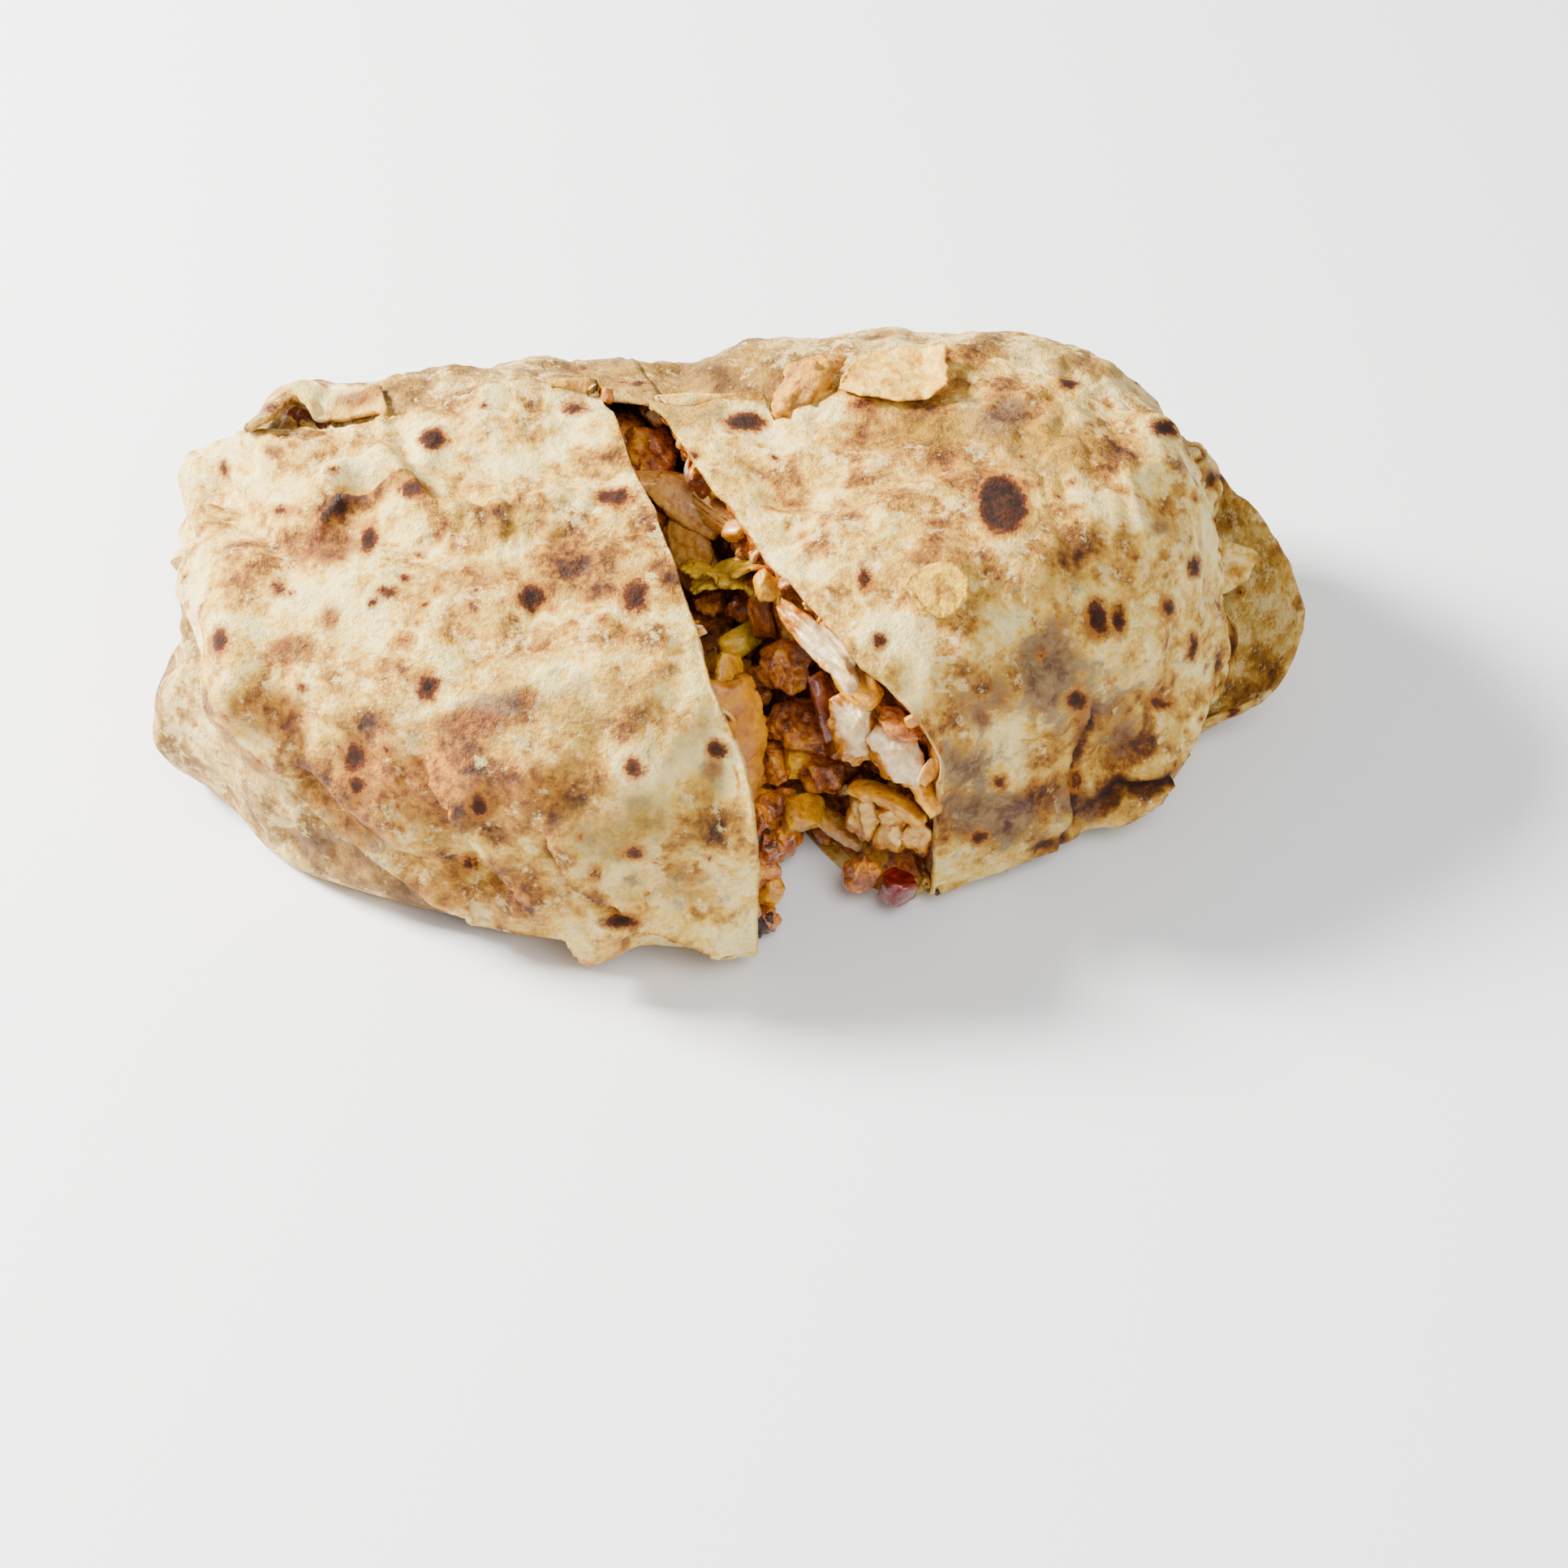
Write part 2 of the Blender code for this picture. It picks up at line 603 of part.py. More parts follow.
def surface_height(tree, x, y):
    """The highest the tortilla stands close to a place, in millimetres."""
    highest = 0.0
    for dx, dy in ((0, 0), (FLAKE_REACH, 0), (-FLAKE_REACH, 0), (0, FLAKE_REACH), (0, -FLAKE_REACH)):
        start = Vector((x + dx, y + dy, 100.0)) + FRAME_SHIFT
        highest = max(highest, tree.ray_cast(start * MM, Vector((0, 0, -1)))[0].z / MM)
    return highest


def build_flake(name, corners, curl, tree, parts):
    """A thin flake that follows the tortilla under it, with one edge curled up."""
    steps = 5
    a, b, c, d, e = (Vector(corner) for corner in corners)
    above, below = [], []
    for i in range(steps):
        v = i / (steps - 1)
        left = a.lerp(b, v)
        right = e.lerp(d, v).lerp(c, max(0.0, v - 0.55))
        line = [left.lerp(right, j / (steps - 1)) for j in range(steps)]
        heights = []
        for j, p in enumerate(line):
            lift = curl * (j / (steps - 1)) ** 4 + 0.15 * (1 + math.sin(3.1 * j + 2.3 * i))
            heights.append(surface_height(tree, p.x, p.y) + CLEARANCE + lift)
        below.append([Vector((p.x, p.y, h)) for p, h in zip(line, heights)])
        above.append([Vector((p.x, p.y, h + FLAKE_THICK)) for p, h in zip(line, heights)])
    return sheet_solid(above, below, name, parts)


def main():
    clear_scene()
    parts = new_collection("burrito")
    helpers = new_collection("helpers")
    tortilla = build_tortilla(parts, helpers)
    bpy.context.view_layer.update()
    whole = bmesh.new()
    whole.from_object(tortilla, bpy.context.evaluated_depsgraph_get())
    bmesh.ops.translate(whole, vec=FRAME_SHIFT * MM, verts=whole.verts)
    tree = BVHTree.FromBMesh(whole)
    whole.free()
    for name, corners, curl in FLAKES:
        build_flake(name, corners, curl, tree, parts)
    fillings = [build_filling("left", parts), build_filling("right", parts)]
    spill = heap("filling_spill", 0.0, parts)
    around_spill = as_cutter(heap("socket_spill", SOCKET_GAP, helpers))
    for side, filling in zip(("left", "right"), fillings):
        boolean(filling, "DIFFERENCE", around_spill)
        boolean(spill, "DIFFERENCE", half_solid(side, helpers))
    fillings.append(spill)
    for name, centre, size, turn, material_name in BITES:
        build_bite(name, centre, size, turn, material_name, parts)
        socket = as_cutter(
            build_bite(f"socket_{name}", centre, size, turn, material_name, helpers, SOCKET_GAP)
        )
        for around in fillings + [tortilla] * (name in IN_TORTILLA):
            boolean(around, "DIFFERENCE", socket)


main()
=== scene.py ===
"""The looks of the burrito: its two halves in dense mesh, the filling in the cut, and a studio to see it in.

The front faces -Y. Shapes are worked out in millimetres, as arrays of points, in the coordinates of the CAD
part before it was centred. ORIGIN moves them to the frame, and MM makes them metres.
"""

import math

import bmesh
import bpy
import numpy as np
from mathutils import Euler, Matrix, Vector


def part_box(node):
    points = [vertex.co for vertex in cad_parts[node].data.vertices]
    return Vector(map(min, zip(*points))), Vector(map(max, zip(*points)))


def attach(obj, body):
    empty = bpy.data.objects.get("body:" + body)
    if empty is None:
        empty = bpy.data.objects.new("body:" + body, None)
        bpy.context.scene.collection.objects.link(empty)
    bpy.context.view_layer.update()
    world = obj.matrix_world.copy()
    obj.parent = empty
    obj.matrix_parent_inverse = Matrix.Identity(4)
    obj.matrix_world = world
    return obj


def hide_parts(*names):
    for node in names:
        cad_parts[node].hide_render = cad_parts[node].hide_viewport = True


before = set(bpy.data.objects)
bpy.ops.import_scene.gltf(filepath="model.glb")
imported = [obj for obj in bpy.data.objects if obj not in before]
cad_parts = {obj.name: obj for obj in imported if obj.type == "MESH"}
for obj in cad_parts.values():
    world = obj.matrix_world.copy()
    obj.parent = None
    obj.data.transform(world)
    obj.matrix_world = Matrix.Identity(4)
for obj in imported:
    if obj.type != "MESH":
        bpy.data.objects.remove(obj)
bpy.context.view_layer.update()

MM = 0.001
PART_LOW = (-94.25, -58.2, 0.0)  # the tortilla's lowest corner in the part's own coordinates
ORIGIN = np.array(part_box("tortilla")[0]) / MM - PART_LOW
RANDOM = np.random.default_rng(7)

# ---------------------------------------------------------------- the wrap, as in the CAD part
CORNERS = (  # back or front, top or bottom, radius across, radius up
    (1, 1, 24, 24),
    (-1, 1, 26, 22),
    (-1, -1, 8, 10),
    (1, -1, 9, 12),
)
CORNER_POWER = 2.15
DOME = 3.0
FULL_CREST = 55.0
SHEET_STEP = 1.6  # the outer turn stands this far above the turn under it
UNDERSIDE = 4.0
CUT_FADE = 0.45
# From the cut to the folded end: front edge (x, y), back edge (x, y), crest
STATIONS = {
    "left": (
        (5.2, -55.5, -27, 46.5, 54),
        (-14, -53.5, -40, 45, 55.5),
        (-35, -51.5, -53, 44, 55),
        (-55, -46, -66, 43.5, 52.5),
        (-75, -36, -77, 43.5, 49),
        (-86, -17, -81.5, 34, 42.5),
    ),
    "right": (
        (33.8, -43.5, -22, 46, 54),
        (45, -37, 3, 48.5, 56.5),
        (57, -29.5, 25, 50, 58),
        (67, -24.5, 47, 51, 56.5),
        (75, -15, 64.5, 47.5, 53),
        (79.5, -3, 76, 39.5, 44),
    ),
}
# The cut seen from above, from front to back
CUTS = {
    "left": ((5.2, -55.5), (-2, -43), (-12.2, -9), (-20.2, 18), (-24.6, 35), (-27, 46.5)),
    "right": ((33.8, -43.5), (21.5, -38), (8.5, -21), (-3.4, 0.5), (-14.6, 24.3), (-22, 46)),
}
END_REACH = {"left": 5.0, "right": 1.5}
# The outer turn's free edge along the back of the top, at (x, y), and its lower edge on the front, at (x, z)
FREE_EDGE = (
    (-95, 24), (-84, 20.5), (-72, 17), (-60, 15.5), (-25, 24.5), (-15, 21), (10, 18.5), (28, 27), (36, 30),
    (55, 23), (72, 15), (84, 8),
)
TUCK_EDGE = ((-43, 3), (58, 3), (66, 8), (80, 22))
# At the left the lower edge climbs the front. Here it is at (x, up), with up as below
TUCK_CLIMB = (
    (-84.7, 24), (-84, 18), (-82.4, 12), (-79.3, 6), (-77.7, -0.6), (-71.6, -7.3), (-67, -12.7),
    (-62.3, -16.7), (-56.3, -20.7), (-47.6, -26.7), (-41, -30.7), (-30, -60),
)
TUCK_LIFT = {"left": 2.2, "right": 1.8}
TUCK_FADE = 22.0
# Corners of the sheet that stick out: centre, radius, push
TUCKED_CORNER = ((-88, -6, 14), 23, (-17, -3, 0))
TOP_CORNERS = (  # the ear at the far left, and the hollows behind it and below it
    ((-84, 21, 38.5), 8.5, (-11, 1.5, 1.5)),
    ((-83.5, 29.5, 38.5), 12, (0, -3.4, -3)),
    ((-88, 10, 36), 7, (3.5, 0, 0)),
)

# Points round each corner and round the whole outline, then points round and along the dense mesh
CORNER_POINTS, OUTLINE_POINTS = 25, 600
BACK_POINTS, TOP_POINTS, UNDER_POINTS = 76, 200, 96
COLUMNS = 136
CAP_COLUMNS = 26
# The free edge of the outer turn in section: place across the edge, share of the turn's height, mm added
LIP = (
    (0.8, 0, 0.05),
    (0.9, 1, -0.95),
    (-0.05, 1, -0.95),
    (-0.4, 1, -0.5),
    (-0.2, 1, -0.1),
    (0.2, 1, 0),
)
# The cut rim in section: depth into the wall, reach out of the cut. The groove parts the two turns.
RIM = ((0.1, 0.12), (0.4, 0.25), (0.75, 0.18), (0.95, -0.5), (1.05, -0.9), (1.25, -0.7), (1.7, -0.55), (2.1, -0.9))
# The inside of the wall: the rows that it runs under, its depth and how much deeper it gets with each row
WALL_ROWS, WALL_DEPTH, WALL_SLOPE = (3, 7, 12, 18), 2.3, 0.06
# The folded end: how deep its creases are and how far apart, and its broader bumps
END_CREASE, END_SPACING, END_BUMP = 1.1, 4.5, 0.9

# The skin's own unevenness: height, size of its waves, seed
WAVES = ((1.7, 26.0, 1), (1.8, 12.0, 2), (0.8, 5.5, 4))
WRINKLE_DEPTH, WRINKLE_SIZE = 0.8, 4.2
GRAIN_HEIGHT, GRAIN_SIZE = 0.14, 1.9
# Each fold hangs over the layer under it, and presses a groove into it, by these shares of its height
FOLD_OVERHANG, FOLD_GROOVE = 0.45, 0.35
# Small marks at random places on each half: how many, least and greatest radius, share of it where the camera looks
FRECKLES, FRECKLE_RADIUS, SEEN_SHARE = 60, (0.2, 1.1), 0.25
LOWEST = 0.4  # loose sheets and bites are kept this far above the floor

# ---------------------------------------------------------------- what is on the wrap
# Places on it are (x, up), where up is measured on the plane that faces the camera
FACING = math.radians(46.7)
ACROSS = np.array((1.0, 0.0, 0.0))
UPWARD = np.array((0.0, math.sin(FACING), math.cos(FACING)))
TOWARDS = np.array((0.0, -math.cos(FACING), math.sin(FACING)))

# Folds, where the sheet steps down to the layer under it: line, height of the step, width that it fades over
FOLDS = (
    (((-44, -10), (-37, -17), (-29.5, -25), (-22, -32), (-16, -36)), 4.4, 20),
    (((-26, -17), (-20, -22), (-13, -27.5), (0, -35.5)), 3.4, 16),
    (((79, -3), (70, -8), (60, -14), (50, -20)), 2.6, 12),
    (((50, -24), (54, -15), (56, -6), (58, 2)), 1.3, 12),
    (((-68, 24), (-62, 33), (-50, 36), (-44, 29)), -1.4, 16),
)
# Ridges and, with a negative height, creases: line, height, half-width. All are raised by RIDGE_SCALE
RIDGE_SCALE = 1.45
RIDGES = (
    (((-88.5, 47), (-86, 42), (-83, 37)), -2, 2),
    (((-86, 30), (-80, 22), (-76, 12), (-74, 4)), 1.4, 3.2),
    (((-90, 33), (-84, 26), (-80, 18)), -1.3, 2),
    (((4, 38), (12, 33), (22, 33), (30, 38)), -1, 3),
    (((18, 26), (28, 22), (36, 14), (40, 4)), 0.9, 3.5),
    (((-80, 42), (-76, 38), (-70, 37), (-64.5, 39), (-60, 40.5)), -1.9, 2.4),
    (((-79, 45), (-71, 42), (-63, 44)), 1.2, 3),
    (((-64, 36), (-58, 39), (-52, 37)), 1.5, 3.2),
    (((-54, 48), (-52.5, 43), (-50, 37), (-46, 33.5), (-40, 33)), -1.5, 1.8),
    (((-50, 33), (-43, 30), (-34, 31), (-28, 34)), 1.2, 2.6),
    (((-92, 40), (-82, 35), (-74, 29), (-69, 24)), -1.7, 3),
    (((-86, 33), (-79, 28), (-74, 22)), 0.9, 3),
    (((-66, 31), (-61, 37), (-50, 38), (-44, 31)), 1.9, 4.2),
    (((-44, 31), (-36, 29), (-28, 31)), 0.7, 3.5),
    (((-84, 24), (-78, 13), (-76, 2)), 0.9, 3.5),
    (((-72, 16), (-70, 6), (-66, -4)), -0.7, 3),
    (((-66, -10), (-58, -17), (-48, -23), (-36, -26)), -1.8, 2.2),
    (((-62, 8), (-50, 2), (-38, 4)), -0.4, 3),
    (((-30, 26), (-18, 27), (-10, 24)), -0.5, 3),
    (((64, 40), (66, 31), (66, 22)), 0.5, 1.3),
    (((70, 36), (73, 24), (72, 10)), -0.6, 2.5),
    (((58, 22), (63, 14), (64, 6)), -0.5, 2),
    (((32, 38), (38, 43), (48, 43), (54, 36)), -0.7, 2.6),
    (((66, 4), (62, -4), (64, -12)), -0.9, 1.6),
    (((57, 2), (55, -8), (49, -14)), -0.6, 2),
    (((74, 2), (70, -2), (68, -8)), 0.8, 2),
    (((14, 36), (24, 32), (34, 24)), 0.5, 4),
)
# Griddle marks: x, up, half-width, half-height
CHAR = (
    (-57, 28, 1.2, 2.3), (-30, 18, 1.8, 1.9), (-14, 18, 1.8, 2.6), (-46, 4, 1.8, 1.9), (-80, 11, 1.2, 1.6),
    (-58, -7, 1.7, 2), (-58, -11.5, 1.6, 1.2), (-38, -15, 1.4, 1.8), (-14, -9, 1.1, 1.3),
    (-16, -33, 2.6, 1.1), (-20, -25, 0.9, 0.8), (-41, -24, 1, 0.9), (-18, 35, 3, 1.6), (-48, 45, 1.9, 1.8),
    (-50, 36, 2.2, 1.4), (-25, 50.5, 1.6, 1.1), (-72, 33, 1.2, 0.7), (-75, -8, 1.1, 0.9), (-53, 19, 1.2, 0.6),
    (-71, 20, 0.8, 0.8), (-50, 11, 0.8, 0.7), (-17, 34, 0.8, 0.8), (-14, -22, 1, 0.8), (-1, -6, 1.1, 1),
    (-84, 41, 0.9, 1.2), (44, 34, 3.9, 5.9), (59, 15, 1.7, 2.8), (62.5, 15, 1, 1.9), (76, 24, 1.1, 1.3),
    (71, 17, 0.9, 1.1), (76, 11, 0.7, 1.4), (56, 2, 1.4, 1.5), (71, 2, 1.9, 0.8), (22, 21, 1, 1.8),
    (24, 11, 0.9, 1), (35, 60, 1.7, 1.1), (72, 47, 2.2, 1.2), (3, 48, 2.9, 1.6), (-14, 50, 1.1, 1.2),
    (-6, 42, 1.4, 0.7), (44, -11, 0.9, 0.9), (41, -20, 1.4, 0.8), (57, -11, 0.9, 1.3), (22, 51, 1.4, 0.7),
    (56, 55, 1.6, 0.8),
)
SCORCH = (
    (-63, 27, 4, 3), (-68, 10, 3.4, 2.4), (-62.5, 52.8, 3.2, 1.5), (-30, 2, 1.7, 1.9), (-39, -2, 6, 2),
    (-2, -9, 1.6, 1.4), (-62, 15, 1.6, 2.4), (41, -1, 1, 1), (70, 30, 1.4, 1), (57, -4, 1, 3),
    (30, 24, 1.4, 1),
)
# Patches: x, up, half-width, half-height, strength
TOAST = (
    (-42, -3, 14, 6, 0.8), (-48, -11, 15, 7, 1.05), (-32, -12, 13, 7, 1), (-63, 27, 8, 6, 0.4),
    (-38, -29, 14, 5, 0.7), (-71, 0, 7, 6, 0.8), (-24, 22, 16, 5, 0.4), (26, 44, 12, 5, 0.6),
    (40, 40, 10, 7, 0.55), (-20, -20, 14, 8, 0.35), (-60, 2, 10, 10, 0.35), (66, 20, 12, 14, 0.3),
    (48, 26, 20, 8, 0.4), (55, -8, 14, 10, 0.4), (36, 54, 10, 6, 0.45), (60, 46, 14, 8, 0.4),
    (10, 40, 10, 6, 0.25),
)
OIL = (
    (-77.5, 48.5, 3, 2, 1.1), (-17, -18, 9, 7, 0.9), (-22, 1, 6, 5, 0.7), (-9, -3, 8, 6, 0.6),
    (-34, 30, 9, 5, 0.5), (-3, -16, 5, 12, 0.5), (-9, 50, 9, 3.5, 1.1), (52, 43, 8, 5, 1.1),
    (33, 46, 9, 4, 0.8), (-22, 56, 8, 3, 0.8), (-40, -3, 8, 3, 0.5), (-12, 61, 12, 3, 1), (27, 8, 5, 5, 0.4),
    (60, 30, 10, 8, 0.3), (84, -12, 12, 9, 0.5),
)
GREY = (
    (51, 6, 5, 8, 1.1), (59, 2, 8, 6, 0.7), (39, -9, 6, 4, 1), (43, -17, 8, 5, 1.2), (43, 1, 8, 5, 0.6),
    (46, 19, 10, 4, 0.5), (-34, 1, 6, 3, 0.9), (-68, -20, 9, 4, 0.6), (-9, -27, 13, 4, 0.6),
    (-44, 20, 10, 4, 0.4), (-56, -22, 7, 3, 0.6), (45, 48, 5, 4, 0.9), (56, -14, 9, 4, 0.7),
    (64, -4, 6, 4, 0.6),
)


# ---------------------------------------------------------------- numbers


def hashed(cells, seed):
    """A repeatable whole number for each row of whole numbers."""
    mixed = cells[:, 0] * 374761393 + cells[:, 1] * 668265263 + cells[:, 2] * 1274126177 + seed * 97531
    mixed = (mixed & 0xFFFFFFFF).astype(np.uint64)
    mixed = ((mixed ^ (mixed >> np.uint64(13))) * np.uint64(1103515245)) & np.uint64(0xFFFFFFFF)
    return mixed ^ (mixed >> np.uint64(16))


def noise(points, size, seed=0, octaves=1):
    """Smooth gradient noise at a grid or list of points, about -1 to 1, with features of this size."""
    points = np.asarray(points, float)
    flat, total, strength = points.reshape(-1, 3), 0.0, 1.0
    for octave in range(octaves):
        total = total + strength * one_noise(flat / size * 2**octave, seed + 31 * octave)
        strength *= 0.5
    return total.reshape(points.shape[:-1])


def one_noise(points, seed):
    cell = np.floor(points).astype(np.int64)
    part = points - cell
    fade = part**3 * (part * (part * 6 - 15) + 10)
    total = np.zeros(len(points))
    for corner in np.ndindex(2, 2, 2):
        corner = np.array(corner)
        mixed = hashed(cell + corner, seed)
        turn = (mixed & np.uint64(1023)).astype(float) * (math.tau / 1024)
        level = ((mixed >> np.uint64(10)) & np.uint64(1023)).astype(float) / 511.5 - 1
        flat = np.sqrt(1 - level**2)
        gradient = np.stack((flat * np.cos(turn), flat * np.sin(turn), level), 1)
        weight = np.prod(np.where(corner, fade, 1 - fade), axis=1)
        total += weight * ((part - corner) * gradient).sum(1)
    return 1.7 * total


def smooth_step(low, high, value):
    t = np.clip((value - low) / (high - low), 0.0, 1.0)
    return t * t * (3 - 2 * t)


def unit(vectors):
    return vectors / np.maximum(np.linalg.norm(vectors, axis=-1, keepdims=True), 1e-9)


def keep_above(lowest, *groups):
    """Move points up, in place, that are lower than this."""
    for points in groups:
        points[..., 2] = np.maximum(points[..., 2], lowest)


def spline(values, share):
    """Catmull-Rom through rows of numbers; share runs from 0 to 1 over them all."""
    values = np.asarray(values, float)
    place = min(max(share, 0.0), 1.0) * (len(values) - 1)
    i = min(int(place), len(values) - 2)
    t = place - i
    a, b, c, d = (values[min(max(k, 0), len(values) - 1)] for k in (i - 1, i, i + 1, i + 2))
    return 0.5 * (2 * b + (c - a) * t + (2 * a - 5 * b + 4 * c - d) * t**2 + (3 * b - a - 3 * c + d) * t**3)


def line_at(points, x):
    xs, ys = zip(*points)
    return np.interp(x, xs, ys)


def lengths_along(line):
    return np.concatenate(([0.0], np.cumsum(np.linalg.norm(np.diff(line, axis=0), axis=1))))


def along(line, places, lengths=None):
    """Points of a polyline at these distances along it."""
    lengths = lengths_along(line) if lengths is None else lengths
    return np.stack([np.interp(places, lengths, line[:, k]) for k in range(line.shape[1])], 1)


def facing(points):
    """Places of points on the plane that faces the camera."""
    return np.stack((points[..., 0], points @ UPWARD), -1)


def from_line(places, line):
    """Distance of (n, 2) places from a polyline, with the side they are on, and how far past an end they are."""
    best = np.full(len(places), 1e9)
    side = np.zeros(len(places))
    for a, b in zip(np.array(line[:-1], float), np.array(line[1:], float)):
        run = b - a
        share = np.clip(((places - a) @ run) / (run @ run), 0, 1)
        gap = places - (a + share[:, None] * run)
        distance = np.hypot(gap[:, 0], gap[:, 1])
        nearer = distance < best
        cross = run[0] * (places[:, 1] - a[1]) - run[1] * (places[:, 0] - a[0])
        side = np.where(nearer, np.sign(cross), side)
        best = np.minimum(best, distance)
    ends = np.array((line[0], line[-1]), float)
    run = unit(np.array((ends[0] - line[1], ends[1] - line[-2]), float))
    past = np.maximum((places - ends[0]) @ run[0], (places - ends[1]) @ run[1])
    return best, side, past


# ---------------------------------------------------------------- meshes


def grid_quads(rows, columns, closed=False):
    """Quads between the points of a grid stored row by row. A closed grid joins its last column to its first."""
    i = np.arange(rows - 1)[:, None] * columns
    j = np.arange(columns if closed else columns - 1)[None, :]
    k = (j + 1) % columns
    return np.stack(np.broadcast_arrays(i + j, i + k, i + columns + k, i + columns + j), -1).reshape(-1, 4)


def add_object(name, data):
    obj = bpy.data.objects.new(name, data)
    bpy.context.scene.collection.objects.link(obj)
    return obj


def make_piece(name, points, faces, material, nodes=(), fields=None):
    """A piece of the visual model from points in millimetres, in part coordinates."""
    mesh = bpy.data.meshes.new(name)
    mesh.from_pydata(((points + ORIGIN) * MM).tolist(), [], [list(f) for f in faces])
    mesh.shade_smooth()
    mesh.materials.append(material)
    for field, values in (fields or {}).items():
        mesh.attributes.new(field, "FLOAT", "POINT").data.foreach_set("value", values.astype(np.float32))
    obj = add_object(name, mesh)
    tidy = bmesh.new()
    tidy.from_mesh(mesh)
    bmesh.ops.recalc_face_normals(tidy, faces=tidy.faces)
    tidy.to_mesh(mesh)
    tidy.free()
    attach(obj, "root")
    if nodes:
        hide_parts(*nodes)
    return obj


def closed_sheet(middle, thick):
    """Points and quads of a thin closed sheet round a grid of points, thinner at its edges."""
    rows, columns = middle.shape[:2]
    normal = unit(np.cross(np.gradient(middle, axis=0), np.gradient(middle, axis=1)))
    border = np.minimum.outer(
        np.minimum(np.arange(rows), np.arange(rows)[::-1]), np.minimum(np.arange(columns), np.arange(columns)[::-1])
    )
    half = thick / 2 * np.minimum(1.0, 0.45 + 0.3 * border)[..., None]
    points = np.concatenate(((middle + normal * half).reshape(-1, 3), (middle - normal * half).reshape(-1, 3)))
    above = grid_quads(rows, columns)
    count = rows * columns
    index = np.arange(count).reshape(rows, columns)
    rim = np.concatenate((index[0], index[1:, -1], index[-1, -2::-1], index[-2:0:-1, 0]))
    after = np.roll(rim, -1)
    sides = np.stack((rim, after, after + count, rim + count), 1)
    return points, np.concatenate((above, above[:, ::-1] + count, sides))


# ---------------------------------------------------------------- the wrap


def outline(side, share):
    """A dense closed cross-section with no detail, from the back over the top, and its middle."""
    x0, y0, x1, y1, crest = spline(STATIONS[side], share)
    front, back = np.array((x0, y0)), np.array((x1, y1))
    width, size = np.hypot(*(back - front)), crest / FULL_CREST
    pieces = []
    for to_back, to_top, across, up in CORNERS:
        across, up = across * size, up * size
        turn = np.linspace(0, math.pi / 2, CORNER_POINTS)[:: 1 if to_back == to_top else -1]
        c, s = np.cos(turn).clip(0) ** (2 / CORNER_POWER), np.sin(turn).clip(0) ** (2 / CORNER_POWER)
        x = (width - across if to_back > 0 else across) + to_back * across * c
        z = (crest - DOME * size - up if to_top > 0 else up) + to_top * up * s
        pieces.append(np.stack((x, z, s if to_top > 0 else 0 * s), 1))
    line = np.concatenate(pieces + [pieces[0][:1]])
    line = along(line, np.linspace(0, lengths_along(line)[-1], OUTLINE_POINTS))
    share_across = line[:, 0] / width
    height = line[:, 1] + DOME * size * line[:, 2] * (1 - (2 * share_across - 1) ** 2)
    kept = share_across.clip(0, 1)
    cut = np.array(CUTS[side])
    chord = cut[0] + (cut[-1] - cut[0]) * kept[:, None]
    bend = (along(cut, kept * lengths_along(cut)[-1]) - chord) * max(0.0, 1 - share / CUT_FADE) ** 2
    plan = front + (back - front) * share_across[:, None] + bend
    return np.column_stack((plan, height)), np.array((*(front + back) / 2, 0.45 * crest))


def section(side, share):
    """One cross-section's points, with for each: sheet share, mm added, and the ways to both sheet edges."""
    line, _ = outline(side, share)
    lengths = lengths_along(line)
    over = np.argmax(line[:, 1] < line_at(FREE_EDGE, line[:, 0]))
    least = line[over, 2] / 12
    climb = facing(line)[:, 1] < line_at(TUCK_CLIMB, line[:, 0])
    low = (line[:, 2] < np.maximum(line_at(TUCK_EDGE, line[:, 0]), least)) | climb
    under = over + 1 + np.argmax(low[over + 1 :])
    ragged = 0.5 * noise(line[[over, under]], 4.0, 3, 3)
    start, stop, whole = lengths[over] + ragged[0], lengths[under] + ragged[1], lengths[-1]
    lip = np.array(LIP)
    tuck = lip[::-1] * (-1, 1, 1)
    places = (
        np.linspace(0, start - 0.5, BACK_POINTS),
        start + lip[:, 0],
        np.linspace(start + 0.6, stop - 0.6, TOP_POINTS),
        stop + tuck[:, 0],
        stop + 0.5 + (whole - stop - 0.5) * np.linspace(0, 1, UNDER_POINTS, endpoint=False) ** 1.25,
    )
    zeros, ones = np.zeros, np.ones
    shares = (zeros(BACK_POINTS), lip[:, 1], ones(TOP_POINTS), tuck[:, 1], zeros(UNDER_POINTS))
    added = (zeros(BACK_POINTS), lip[:, 2], zeros(TOP_POINTS), tuck[:, 2], zeros(UNDER_POINTS))
    place = np.concatenate(places)
    points = along(line, place % whole, lengths)
    edge = np.concatenate((line[under], [0]))[:3]
    return points, np.concatenate(shares), np.concatenate(added), place - start, stop - place, edge


def stick_out(points, corner):
    centre, radius, push = corner
    share = np.maximum(0, 1 - np.linalg.norm(points - centre, axis=-1) / radius) ** 1.3
    return share[..., None] * push


